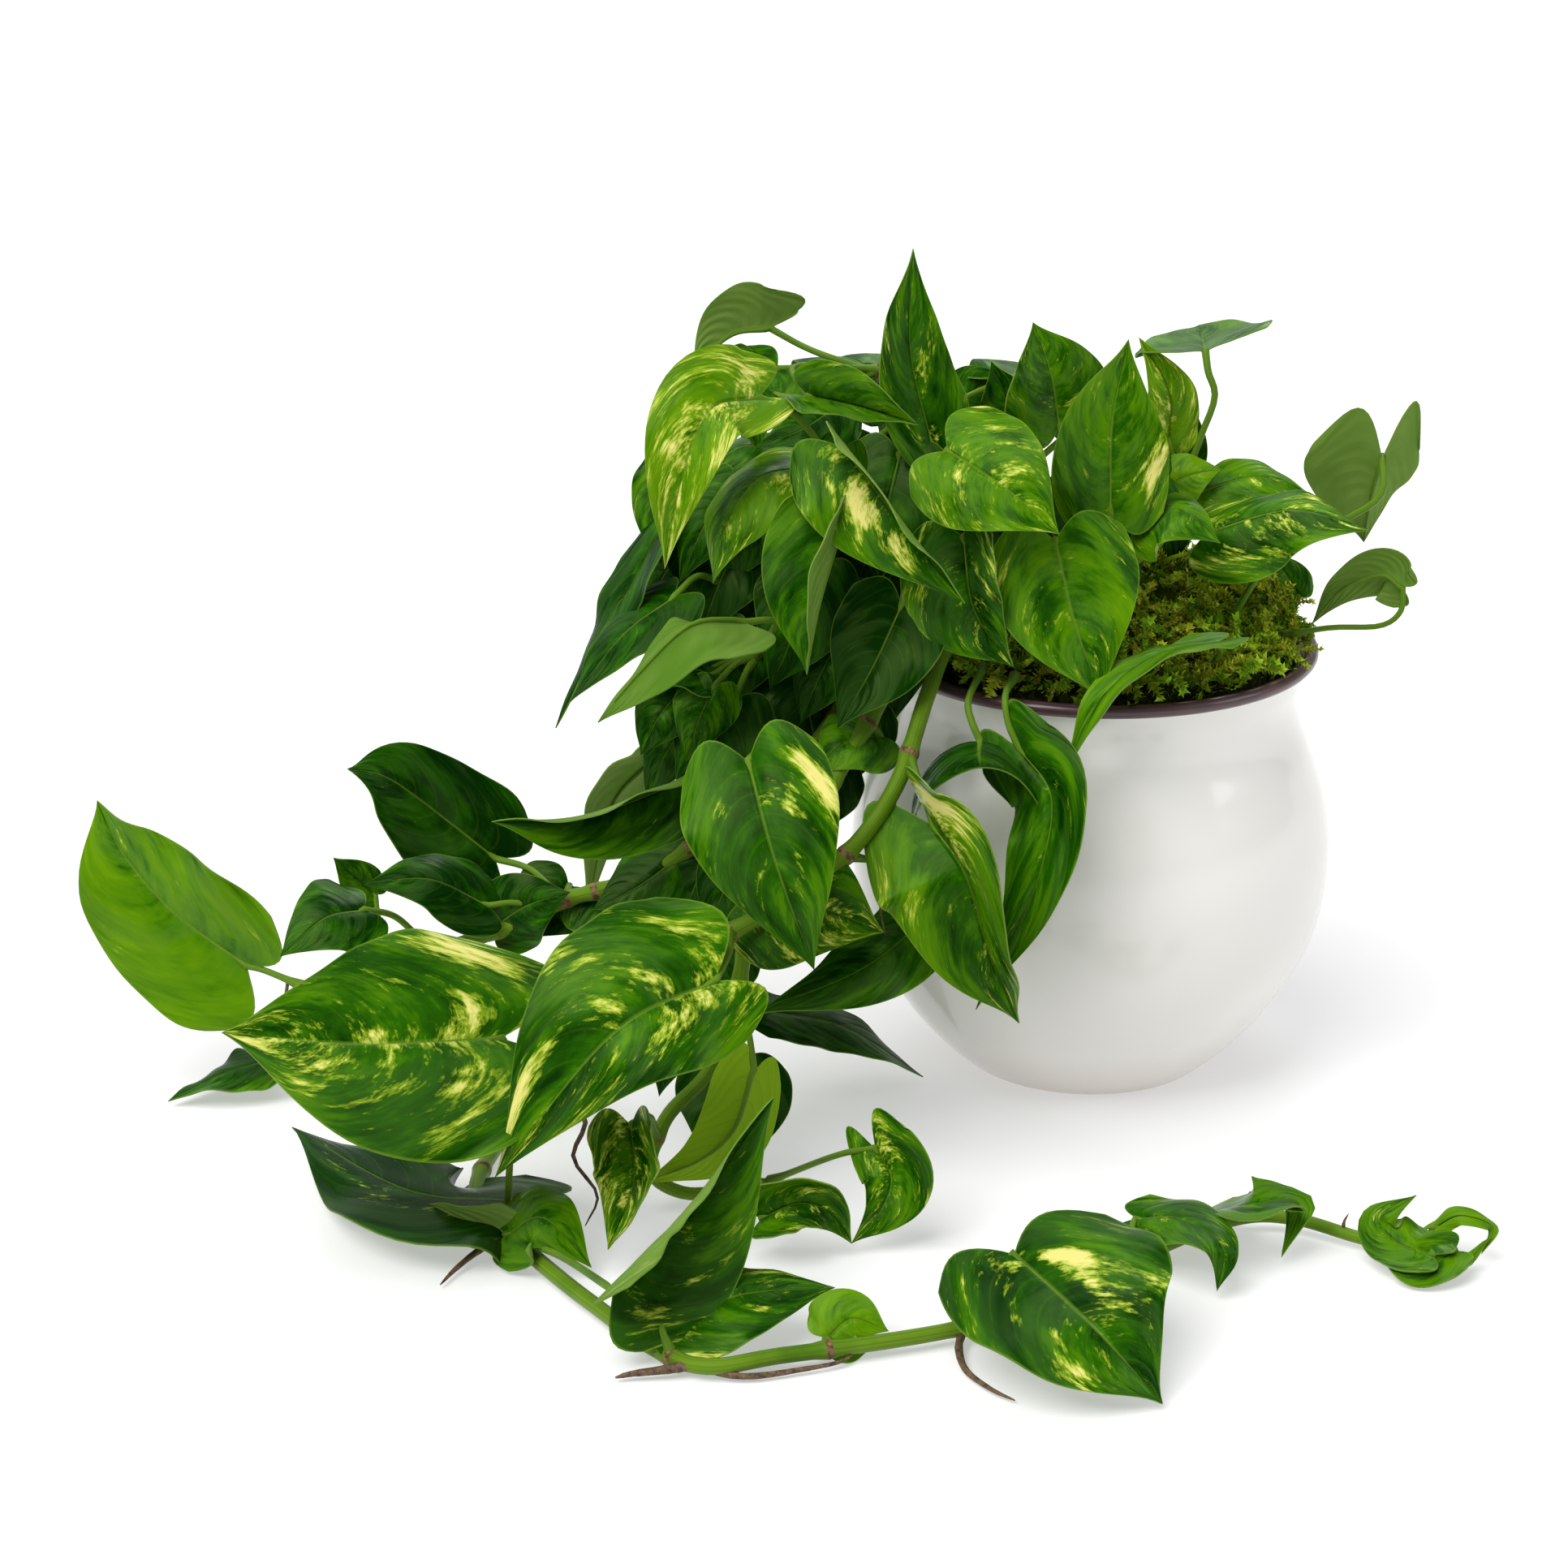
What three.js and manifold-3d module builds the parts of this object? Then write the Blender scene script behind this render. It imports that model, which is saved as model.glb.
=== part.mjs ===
// A golden pothos growing in a white glazed pot with a rolled brown rim.
// Millimetres, +Z up. The origin is the middle of the flat foot of the pot, on the floor, and the
// plant spills over the rim towards -X and -Y, where one long runner lies along the floor.

import * as THREE from 'three';
import { mergeVertices } from 'three/addons/utils/BufferGeometryUtils.js';
import Module from 'manifold-3d';

const wasm = await Module();
wasm.setup();

// Pot
const footRadius = 50;
const bellyRadius = 100;
const bellyHeight = 92;
const neckRadius = 84;
const neckHeight = 162;
const beadRingRadius = 88.6;
const beadRingHeight = 181;
const beadRadius = 2.8;
const wallThickness = 4.5;
const floorThickness = 6;
const potSegments = 32;

// Filling
const soilTop = 170;
const mossRadius = 78;
const mossTop = 203;
const touchingGap = 0.35;

// Stems and leaves
const vineRadius = 3.5;
const crownStemRadius = 3;
const stalkRadius = 1.6;
const bladeThickness = 1;
const lobeDepth = 0.14;
const stationsAlong = [0, 0.15, 0.4, 0.66, 0.88];
const stationsAcross = [-1, -0.5, 0, 0.5, 1];

// Vines, each from the moss to its growing tip
const vines = [
  { name: 'vine_trail', radius: vineRadius, steps: 44,
    route: [[-52, -38, 192], [-64, -62, 199], [-73, -86, 186], [-85, -108, 158], [-104, -122, 135],
      [-130, -130, 117], [-152, -134, 105], [-180, -138, 84], [-206, -110, 46], [-222, -72, 14],
      [-238, -92, 6], [-248, -135, 5], [-246, -165, 5], [-233, -188, 5], [-200, -240, 5],
      [-163, -286, 5], [-128, -282, 6], [-64, -262, 6], [-22, -234, 6], [16, -196, 5],
      [46, -176, 6], [68, -177, 6], [96, -193, 5], [120, -190, 6]] },
  { name: 'vine_loop', radius: vineRadius, steps: 24,
    route: [[-72, -40, 188], [-82, -64, 194], [-94, -84, 178], [-111, -100, 154], [-130, -112, 126],
      [-143, -118, 95], [-148, -126, 71], [-158, -138, 50], [-174, -150, 36], [-180, -158, 18],
      [-168, -156, 7], [-150, -152, 6], [-134, -150, 9]] },
  { name: 'vine_left', radius: vineRadius, steps: 24,
    route: [[-70, -24, 188], [-86, -42, 198], [-102, -62, 180], [-124, -78, 154], [-153, -86, 134],
      [-175, -86, 116], [-197, -84, 106], [-217, -84, 100], [-240, -84, 88], [-266, -86, 80],
      [-296, -84, 70], [-324, -72, 57]] },
  { name: 'vine_back', radius: vineRadius, steps: 22,
    route: [[-50, 22, 190], [-66, 48, 200], [-86, 76, 188], [-110, 94, 160], [-134, 92, 126],
      [-156, 76, 90], [-175, 52, 52], [-188, 28, 18], [-202, -2, 6], [-214, -30, 5]] },
  { name: 'crown_left', radius: crownStemRadius, steps: 16,
    route: [[-60, -20, 190], [-74, -30, 220], [-92, -38, 243], [-114, -38, 252], [-136, -34, 247],
      [-149, -38, 230], [-150, -46, 210], [-140, -60, 194]] },
  { name: 'crown_centre', radius: crownStemRadius, steps: 12,
    route: [[-46, -8, 190], [-56, -12, 226], [-66, -10, 256], [-78, -6, 282], [-92, -4, 297]] },
  { name: 'crown_right', radius: crownStemRadius, steps: 10,
    route: [[-14, -26, 190], [-8, -38, 212], [6, -44, 226], [22, -38, 238], [30, -28, 250]] },
];

// Leaves. The stalk runs from the vine to the notch of the leaf, the rib from the notch to the tip.
// face is the way the upper side looks, width the widest measure across the flat leaf. fold and curl
// are degrees for the left and right halves, seen from above with the tip ahead: fold is how far a
// half is raised at the rib, curl how much further it has turned by the margin, and halves how wide
// each half is beside an even one. lobe is how far the lobes reach back, as a share of the length.
const leaves = [
  { name: 'crown_leaf_01', width: 36, face: [0.3, -0.9, 0.3], fold: [22, 22],
    stalk: [[-60, -14, 236], [-68, -28, 256]], rib: [[-70, -38, 275], [-79, -34, 312], [-78, -24, 350]] },
  { name: 'crown_leaf_02', width: 42, halves: [1, 0.7], lobe: 0.4, face: [0, 1, 0.15], fold: [0, 115],
    curl: [-4, -20], stalk: [[-90, -4, 296], [-117, 4, 303]],
    rib: [[-135, 10, 311], [-150, 6, 309], [-166, -4, 296]] },
  { name: 'crown_leaf_03', width: 46, halves: [0.75, 1], face: [-0.2, -0.7, 0.7], fold: [0, 35],
    stalk: [[-99, -40, 247], [-110, -60, 273], [-123, -68, 293]],
    rib: [[-138, -70, 302], [-157, -84, 300], [-168, -94, 273], [-174, -96, 241]] },
  { name: 'crown_leaf_04', width: 34, face: [0, -1, 0.1], fold: [30, 88],
    stalk: [[-98, -6, 298], [-124, -28, 304]], rib: [[-119, -60, 300], [-99, -70, 298], [-77, -74, 292]] },
  { name: 'crown_leaf_05', width: 54, face: [0, -0.9, 0.5], fold: [8, 8],
    stalk: [[-58, -14, 232], [-70, -66, 265]], rib: [[-66, -78, 283], [-45, -90, 272], [-24, -100, 256]] },
  { name: 'crown_leaf_06', width: 58, halves: [0.7, 1], face: [0, -0.9, 0.3], fold: [85, 5], curl: [30, 0],
    stalk: [[-92, -40, 243], [-107, -74, 277]],
    rib: [[-106, -84, 286], [-86, -100, 263], [-60, -108, 231]] },
  { name: 'crown_leaf_07', width: 56, halves: [0.8, 1], face: [-0.1, -0.9, 0.5], fold: [65, 5],
    stalk: [[-63, -26, 205], [-63, -54, 232]], rib: [[-59, -72, 247], [-55, -86, 222], [-40, -94, 201]] },
  { name: 'crown_leaf_08', width: 61, face: [0, -0.9, 0.4], fold: [14, 14],
    stalk: [[-13, -34, 206], [-20, -66, 236]], rib: [[-24, -80, 248], [-17, -93, 220], [-6, -102, 190]] },
  { name: 'crown_leaf_09', width: 48, face: [0, -0.9, 0.3], fold: [18, 10],
    stalk: [[6, -44, 226], [4, -52, 238]], rib: [[-1, -58, 253], [-1, -54, 288], [5, -46, 319]] },
  { name: 'crown_leaf_10', width: 52, face: [0.2, -0.9, 0.3], fold: [30, 5],
    stalk: [[-12, -30, 204], [-16, -20, 244]], rib: [[-19, -24, 279], [-23, -22, 300], [-30, -16, 319]] },
  { name: 'crown_leaf_11', width: 58, face: [0, 0.6, 0.8], fold: [8, 28],
    stalk: [[30, -28, 250], [36, -22, 270], [42, -24, 290], [39, -24, 301]],
    rib: [[38, -20, 309], [40, 5, 307], [42, 38, 306]] },
  { name: 'crown_leaf_12', width: 46, halves: [0.65, 1.1], face: [0, -0.6, 0.8], fold: [-10, -15],
    stalk: [[18, -40, 234], [26, -42, 242]], rib: [[39, -46, 242], [70, -54, 253], [99, -66, 248]] },
  { name: 'crown_leaf_13', width: 58, halves: [1.05, 0.75], lobe: 0.5, face: [0, 1, 0.3], fold: [15, 35],
    curl: [-15, -10], stalk: [[50, -28, 196], [66, -30, 224], [92, -32, 241], [108, -34, 253]],
    rib: [[110, -22, 266], [108, -14, 248], [108, -2, 225]] },
  { name: 'crown_leaf_14', width: 24, lobe: 0.1, face: [0.1, 1, 0.2], fold: [10, 10],
    stalk: [[74, -24, 192], [92, -30, 197], [111, -34, 199], [119, -34, 205]],
    rib: [[120, -30, 214], [112, -24, 218], [98, -16, 209], [87, -12, 193]] },
  { name: 'crown_leaf_15', width: 26, face: [-0.6, -0.3, 0.7], fold: [15, 15],
    stalk: [[40, -56, 188], [43, -70, 200]],
    rib: [[39, -78, 206], [15, -96, 207], [-7, -108, 193], [-22, -112, 162]] },

  { name: 'shoulder_leaf_01', width: 46, face: [-0.3, -0.5, 0.8], fold: [-15, -10],
    stalk: [[-96, -40, 244], [-104, -52, 262]],
    rib: [[-111, -62, 272], [-137, -74, 272], [-151, -84, 254], [-156, -88, 233]] },
  { name: 'shoulder_leaf_02', width: 40, face: [-0.2, -0.3, 0.9], fold: [-10, -10],
    stalk: [[-108, -36, 250], [-112, -26, 258]],
    rib: [[-117, -20, 263], [-143, -26, 272], [-166, -34, 257]] },
  { name: 'shoulder_leaf_03', width: 36, face: [-0.2, -0.9, 0.3],
    stalk: [[-136, -35, 248], [-142, -38, 258]],
    rib: [[-148, -42, 258], [-159, -50, 247], [-170, -54, 223]] },
  { name: 'shoulder_leaf_04', width: 30, face: [-0.8, -0.4, 0.5], fold: [15, 15],
    stalk: [[-144, -36, 242], [-160, -38, 254]],
    rib: [[-175, -40, 247], [-189, -52, 222], [-203, -62, 198], [-219, -70, 168]] },
  { name: 'shoulder_leaf_05', width: 38, face: [-0.4, -0.5, 0.8],
    stalk: [[-150, -42, 218], [-162, -54, 226]],
    rib: [[-172, -62, 220], [-191, -76, 209], [-212, -88, 185]] },
  { name: 'shoulder_leaf_06', width: 46, face: [0.2, 0.3, -0.9], fold: [35, 20],
    stalk: [[-140, -60, 194], [-132, -84, 216]],
    rib: [[-145, -98, 220], [-164, -110, 222], [-183, -118, 206], [-199, -122, 188]] },
  { name: 'shoulder_leaf_07', width: 54, halves: [0.55, 1], face: [-0.1, -0.9, 0.4], fold: [100, 8],
    curl: [20, 0], stalk: [[-88, -38, 240], [-98, -78, 262]],
    rib: [[-106, -92, 260], [-115, -108, 232], [-120, -112, 204]] },
  { name: 'shoulder_leaf_08', width: 46, face: [-0.3, -0.9, 0.3], fold: [10, 20],
    stalk: [[-74, -34, 218], [-79, -62, 232]], rib: [[-83, -80, 222], [-94, -92, 201], [-108, -100, 178]] },

  { name: 'front_leaf_01', width: 100, face: [0, 0.1, 1], fold: [-15, -15], curl: [-84, -84],
    stalk: [[-50, -66, 192], [-57, -92, 187], [-56, -100, 181]],
    rib: [[-53, -104, 175], [-54, -116, 174], [-54, -130, 173]] },
  { name: 'front_leaf_02', width: 38, face: [-0.7, -0.6, 0.3], fold: [5, 25],
    stalk: [[-38, -72, 190], [-43, -96, 190], [-42, -102, 181]],
    rib: [[-38, -106, 172], [-26, -120, 155], [-34, -130, 118], [-54, -128, 72]] },
  { name: 'front_leaf_03', width: 64, halves: [0.9, 1.12], lobe: 0.24, face: [-0.1, -0.9, 0.5],
    fold: [75, 0], curl: [-20, 0], stalk: [[-80, -102, 168], [-77, -112, 162]],
    rib: [[-71, -122, 146], [-59, -138, 132], [-49, -138, 98], [-37, -130, 67]] },
  { name: 'front_leaf_04', width: 62, face: [-0.1, -0.9, 0.4], fold: [10, 10],
    stalk: [[-111, -100, 156], [-122, -116, 176], [-134, -130, 182]],
    rib: [[-142, -140, 179], [-132, -160, 147], [-117, -162, 103]] },
  { name: 'front_leaf_05', width: 58, face: [0.1, -0.9, 0.4], fold: [0, 10],
    stalk: [[-142, -116, 100], [-146, -114, 112]],
    rib: [[-140, -118, 117], [-116, -134, 118], [-90, -134, 107]] },
  { name: 'front_leaf_06', width: 38, face: [0, -0.6, 0.8],
    stalk: [[-104, -118, 130], [-84, -112, 124]],
    rib: [[-74, -112, 103], [-99, -124, 87], [-140, -130, 71]] },
  { name: 'front_leaf_07', width: 34, face: [-0.1, -0.3, 1],
    stalk: [[-148, -124, 70], [-144, -90, 54]], rib: [[-135, -60, 42], [-104, -55, 33], [-70, -40, 3]] },

  { name: 'side_leaf_01', width: 44, face: [0, -0.8, 0.6], fold: [-5, 100], curl: [0, 20],
    stalk: [[-140, -82, 142], [-154, -84, 158]],
    rib: [[-170, -92, 153], [-206, -112, 146], [-240, -128, 150]] },
  { name: 'side_leaf_02', width: 54, face: [0.1, -0.8, 0.6], fold: [10, 5],
    stalk: [[-217, -84, 100], [-230, -66, 106]],
    rib: [[-245, -60, 109], [-264, -68, 129], [-285, -78, 150], [-300, -84, 156]] },
  { name: 'side_leaf_03', width: 34, face: [0, -0.6, 0.8],
    stalk: [[-224, -84, 98], [-236, -86, 100]],
    rib: [[-246, -88, 100], [-268, -98, 115], [-293, -104, 115]] },
  { name: 'side_leaf_04', width: 40, face: [-0.1, -0.7, 0.7], stalk: [[-270, -86, 79], [-282, -92, 96]],
    rib: [[-294, -100, 103], [-308, -112, 104], [-325, -120, 91]] },
  { name: 'side_leaf_05', width: 80, halves: [1, 0.8], face: [-0.1, -0.9, 0.4], fold: [-4, 40],
    stalk: [[-322, -72, 58], [-339, -66, 62]],
    rib: [[-348, -62, 63], [-379, -50, 82], [-400, -38, 103], [-411, -28, 122]] },

  { name: 'floor_leaf_01', width: 100, lobe: 0.26, face: [0, -0.6, 0.8], fold: [4, 10],
    stalk: [[-234, -186, 10], [-232, -182, 36], [-228, -178, 64]],
    rib: [[-234, -183, 85], [-286, -200, 90], [-334, -208, 98]] },
  { name: 'floor_leaf_02', width: 74, halves: [0.8, 1.28], face: [-0.1, -0.8, 0.6], fold: [5, 8],
    stalk: [[-148, -134, 104], [-149, -168, 113]],
    rib: [[-154, -190, 111], [-191, -212, 99], [-235, -218, 44]] },
  { name: 'floor_leaf_03', width: 76, halves: [1, 1], face: [0, 0, 1],
    stalk: [[-240, -178, 7], [-234, -176, 11]], rib: [[-230, -172, 12], [-273, -171, 16], [-327, -99, 8]] },
  { name: 'floor_leaf_04', width: 34, face: [0, 0, 1], stalk: [[-312, -74, 40], [-326, -46, 22]],
    rib: [[-337, -42, 14], [-359, -54, 12], [-383, -64, 3]] },
  { name: 'floor_leaf_05', width: 68, face: [0.1, -0.9, 0.5], fold: [75, 5], curl: [40, 0],
    stalk: [[-230, -192, 8], [-211, -226, 16]],
    rib: [[-189, -270, 26], [-164, -252, 45], [-132, -236, 85]] },
  { name: 'floor_leaf_06', width: 46, face: [0, -0.3, 1], stalk: [[-168, -282, 8], [-172, -276, 14]],
    rib: [[-168, -270, 14], [-142, -266, 22], [-110, -254, 18]] },
  { name: 'floor_leaf_07', width: 30, halves: [1.2, 0.8], lobe: 0.3, face: [0.1, -0.9, 0.5], fold: [10, 10],
    curl: [25, -30], stalk: [[-134, -150, 9], [-109, -175, 32]],
    rib: [[-94, -179, 37], [-88, -186, 28], [-92, -191, 17], [-103, -195, 5]] },
  { name: 'floor_leaf_08', width: 32, face: [0.3, 0.8, -0.5], fold: [0, 60],
    stalk: [[-146, -122, 80], [-142, -138, 66]],
    rib: [[-140, -150, 56], [-147, -166, 39], [-161, -176, 30], [-183, -180, 23]] },
  { name: 'runner_leaf_01', width: 84, halves: [1.12, 0.9], face: [0, -0.4, 0.9], fold: [4, 4],
    curl: [-14, -14], stalk: [[-64, -263, 6], [-59, -261, 18]],
    rib: [[-46, -256, 33], [-21, -297, 26], [3, -311, 3]] },
  { name: 'runner_leaf_02', width: 30, face: [0, -0.3, 1], stalk: [[0, -212, 8], [2, -202, 14]],
    rib: [[4, -195, 16], [19, -207, 22], [33, -226, 20], [31, -231, 4]] },

  { name: 'rear_leaf_01', width: 52, face: [0.2, 0.8, 0.5], fold: [8, 8],
    stalk: [[-54, -8, 222], [-28, 16, 250]], rib: [[-10, 35, 262], [-2, 65, 260], [8, 92, 217]] },
  { name: 'rear_leaf_02', width: 56, face: [0, 0.9, 0.4], fold: [8, 8],
    stalk: [[-62, 42, 198], [-58, 56, 212]], rib: [[-60, 70, 217], [-65, 102, 207], [-72, 122, 157]] },
  { name: 'rear_leaf_03', width: 54, face: [-0.3, 0.9, 0.3], fold: [8, 8],
    stalk: [[-84, 74, 190], [-98, 66, 206]], rib: [[-112, 70, 212], [-127, 96, 198], [-140, 112, 150]] },
  { name: 'rear_leaf_04', width: 52, face: [-0.4, 0.8, 0.4], fold: [8, 8],
    stalk: [[-132, 92, 128], [-138, 96, 142]], rib: [[-146, 98, 142], [-164, 108, 120], [-176, 104, 74]] },
  { name: 'rear_leaf_05', width: 50, face: [-0.8, 0.5, 0.3], fold: [8, 8],
    stalk: [[-166, 64, 70], [-178, 50, 104]], rib: [[-186, 42, 116], [-204, 34, 96], [-214, 28, 50]] },
];

function toSolid(geometry) {
  const bare = geometry.index ? geometry.toNonIndexed() : geometry.clone();
  bare.deleteAttribute('normal');
  bare.deleteAttribute('uv');
  const merged = mergeVertices(bare, 1e-4);
  return new wasm.Manifold(new wasm.Mesh({
    numProp: 3,
    vertProperties: new Float32Array(merged.attributes.position.array),
    triVerts: new Uint32Array(merged.index.array),
  }));
}

function toGeometry(solid) {
  const mesh = solid.getMesh();
  const geometry = new THREE.BufferGeometry();
  geometry.setAttribute('position', new THREE.BufferAttribute(new Float32Array(mesh.vertProperties), 3));
  geometry.setIndex(new THREE.BufferAttribute(new Uint32Array(mesh.triVerts), 1));
  geometry.computeVertexNormals();
  return geometry;
}

function largestBody(solid) {
  const bodies = solid.decompose();
  return bodies.reduce((best, body) => (body.volume() > best.volume() ? body : best));
}

function smoothCurve(points) {
  return new THREE.CatmullRomCurve3(points.map((p) => new THREE.Vector3(...p)), false, 'catmullrom', 0.5);
}

function lathe(profile) {
  const points = profile.map(([radius, height]) => new THREE.Vector2(radius, height));
  const geometry = new THREE.LatheGeometry(points, potSegments);
  geometry.rotateX(Math.PI / 2);
  return geometry;
}

// A round rod along a curve: a polygon extruded along it
function rod(curve, radius, sides, steps) {
  const section = new THREE.Shape();
  for (let i = 0; i <= sides; i += 1) {
    const angle = (i * 2 * Math.PI) / sides;
    const move = i === 0 ? 'moveTo' : 'lineTo';
    section[move](radius * Math.cos(angle), radius * Math.sin(angle));
  }
  return new THREE.ExtrudeGeometry(section, { steps, extrudePath: curve, bevelEnabled: false });
}

// Outside of the pot below its bead, as radius and height
function potOutline() {
  return [[footRadius, 0], [54, 2], [67, 14], [81, 32], [95.5, 60], [bellyRadius, bellyHeight],
    [97.5, 116], [91, 136], [85.5, 151], [neckRadius, neckHeight], [86, 172], [88, 178]];
}

function potSolid(extra) {
  const outline = potOutline();
  const outside = outline.map(([radius, height], i) => [radius + extra, i === 0 ? -extra : height]);
  const bead = [];
  const beadPoints = 6;
  for (let i = 0; i <= beadPoints; i += 1) {
    const angle = -0.3 * Math.PI + (i * 1.6 * Math.PI) / beadPoints;
    bead.push([beadRingRadius + (beadRadius + extra) * Math.cos(angle),
      beadRingHeight + (beadRadius + extra) * Math.sin(angle)]);
  }
  const inside = outline
    .filter(([, height]) => height > floorThickness + 4)
    .map(([radius, height]) => [radius - wallThickness - extra, height])
    .reverse();
  inside.push([footRadius - 2, floorThickness], [0, floorThickness]);
  return toSolid(lathe([[0, -extra], ...outside, ...bead, ...inside]));
}

function soilSolid() {
  const wall = potOutline()
    .filter(([, height]) => height > floorThickness + 4 && height < soilTop)
    .map(([radius, height]) => [radius - wallThickness - 2 * touchingGap, height]);
  const base = floorThickness + touchingGap;
  const edge = neckRadius - wallThickness - touchingGap;
  const outline = [[0, base], [footRadius - 3, base], ...wall, [edge, soilTop], [0, soilTop]];
  return toSolid(lathe(outline));
}

// A low cushion of moss, a little higher than the rim
function mossSolid(extra) {
  const base = soilTop + touchingGap - extra;
  const outline = [[0, base], [mossRadius + extra, base], [mossRadius + 2 + extra, 178],
    [mossRadius + 4 + extra, 184], [mossRadius + extra, 190 + extra], [60, 197 + extra],
    [32, 201.5 + extra], [0, mossTop + extra]];
  return toSolid(lathe(outline));
}

// How wide each half of a leaf is along its length, from 0 at the notch to 1 at the tip
function leafShare(along) {
  const belly = 0.86 + 1.9 * along - 0.9 * along * along;
  return (1 - along) ** 0.95 * belly * (1 - 0.45 * along ** 8);
}

// One point of a leaf: its place, and the way its upper side looks there
function leafPoint(leaf, curve, along, across, extra) {
  const half = Math.abs(across);
  const length = curve.getLength();
  const lobe = leaf.lobe ?? lobeDepth;
  const reach = along - lobe * Math.sin(Math.PI * half) * (1 - along) ** 3 - (extra / length) * (1 - along);
  const place = curve.getPoint(Math.max(reach, 0));
  const ahead = curve.getTangent(Math.max(reach, 0));
  place.addScaledVector(ahead, Math.min(reach, 0) * length);
  const face = new THREE.Vector3(...leaf.face);
  face.addScaledVector(ahead, -face.dot(ahead)).normalize();
  const side = new THREE.Vector3().crossVectors(face, ahead);
  const sign = Math.sign(across);
  const hand = across > 0 ? 0 : 1;
  const fold = THREE.MathUtils.degToRad((leaf.fold ?? [0, 0])[hand]);
  const curl = THREE.MathUtils.degToRad((leaf.curl ?? [0, 0])[hand]);
  const ratio = (leaf.halves ?? [1, 1])[hand];
  const distance = half * ((leaf.width / 2) * ratio * leafShare(along) + extra);
  const slices = 6;
  for (let i = 0; i < slices; i += 1) {
    const angle = fold + (curl * distance * (i + 0.5)) / slices / (leaf.width / 2);
    place.addScaledVector(side, (sign * Math.cos(angle) * distance) / slices);
    place.addScaledVector(face, (Math.sin(angle) * distance) / slices);
  }
  const turn = half === 0 ? 0 : fold + (curl * distance) / (leaf.width / 2);
  const normal = face.clone().multiplyScalar(Math.cos(turn)).addScaledVector(side, -sign * Math.sin(turn));
  return { place, normal };
}

// The blade as a closed sheet: an upper and a lower grid, joined round the margin and at the tip
function bladeGeometry(leaf, curve, extra) {
  const positions = [];
  const half = bladeThickness / 2 + extra;
  const columns = stationsAcross.length;
  const addLayer = (offset) => {
    const start = positions.length / 3;
    stationsAlong.forEach((along) => {
      stationsAcross.forEach((across) => {
        const { place, normal } = leafPoint(leaf, curve, along, across, extra);
        positions.push(...place.addScaledVector(normal, offset).toArray());
      });
    });
    const end = leafPoint(leaf, curve, 1, 0, 0);
    end.place.addScaledVector(curve.getTangent(1), extra);
    positions.push(...end.place.addScaledVector(end.normal, offset).toArray());
    return start;
  };
  const upper = addLayer(half);
  const lower = addLayer(-half);
  const rows = stationsAlong.length;
  const tip = rows * columns;
  const faces = [];
  const addSheet = (start, flip) => {
    const push = (a, b, c) => faces.push(...(flip ? [a, c, b] : [a, b, c]).map((k) => k + start));
    for (let row = 0; row < rows - 1; row += 1) {
      for (let column = 0; column < columns - 1; column += 1) {
        const corner = row * columns + column;
        push(corner, corner + 1, corner + columns);
        push(corner + 1, corner + columns + 1, corner + columns);
      }
    }
    for (let column = 0; column < columns - 1; column += 1) {
      push((rows - 1) * columns + column, (rows - 1) * columns + column + 1, tip);
    }
  };
  addSheet(upper, true);
  addSheet(lower, false);
  const rim = [];
  for (let column = 0; column < columns; column += 1) rim.push(column);
  for (let row = 1; row < rows; row += 1) rim.push(row * columns + columns - 1);
  rim.push(tip);
  for (let row = rows - 1; row > 0; row -= 1) rim.push(row * columns);
  rim.forEach((from, i) => {
    const to = rim[(i + 1) % rim.length];
    faces.push(upper + from, upper + to, lower + from);
    faces.push(upper + to, lower + to, lower + from);
  });
  const geometry = new THREE.BufferGeometry();
  geometry.setAttribute('position', new THREE.Float32BufferAttribute(positions, 3));
  geometry.setIndex(faces);
  return geometry;
}

function leafSolid(leaf, extra) {
  const curve = smoothCurve(leaf.rib);
  const blade = toSolid(bladeGeometry(leaf, curve, extra));
  const hold = curve.getPoint(0.08).toArray();
  const stalkCurve = smoothCurve([...leaf.stalk, leaf.rib[0], hold]);
  const stalk = toSolid(rod(stalkCurve, stalkRadius + extra, 5, leaf.stalk.length + 3));
  return blade.add(stalk);
}

const plant = new THREE.Group();
const taken = [];

function boxesMeet(a, b) {
  return [0, 1, 2].every((axis) => a.min[axis] <= b.max[axis] && b.min[axis] <= a.max[axis]);
}

// Adds a piece to the plant. Pieces made earlier keep their shape, and this one is cut back to a
// small gap wherever it would run into them.
function addPiece(name, solid, clearance, look) {
  let body = solid;
  taken.forEach((other) => {
    if (boxesMeet(body.boundingBox(), other.boundingBox())) body = body.subtract(other);
  });
  body = largestBody(body);
  taken.push(clearance, body);
  const mesh = new THREE.Mesh(toGeometry(body), new THREE.MeshStandardMaterial(look));
  mesh.name = name;
  plant.add(mesh);
}

const glaze = { color: 0xd9d8d2, roughness: 0.2, metalness: 0 };
const earth = { color: 0x2b2019, roughness: 0.95, metalness: 0 };
const mossGreen = { color: 0x55661c, roughness: 0.95, metalness: 0 };
const stemGreen = { color: 0x6f9a2c, roughness: 0.5, metalness: 0 };
const leafGreen = { color: 0x2f7d1c, roughness: 0.35, metalness: 0 };

addPiece('pot', potSolid(0), potSolid(touchingGap), glaze);
addPiece('soil', soilSolid(), soilSolid(), earth);
addPiece('moss', mossSolid(0), mossSolid(touchingGap), mossGreen);
vines.forEach((vine) => {
  const curve = smoothCurve(vine.route);
  const stem = toSolid(rod(curve, vine.radius, 8, vine.steps));
  addPiece(vine.name, stem, toSolid(rod(curve, vine.radius + touchingGap, 8, vine.steps)), stemGreen);
});
leaves.forEach((leaf) => {
  addPiece(leaf.name, leafSolid(leaf, 0), leafSolid(leaf, touchingGap), leafGreen);
});

export default plant;
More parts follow.
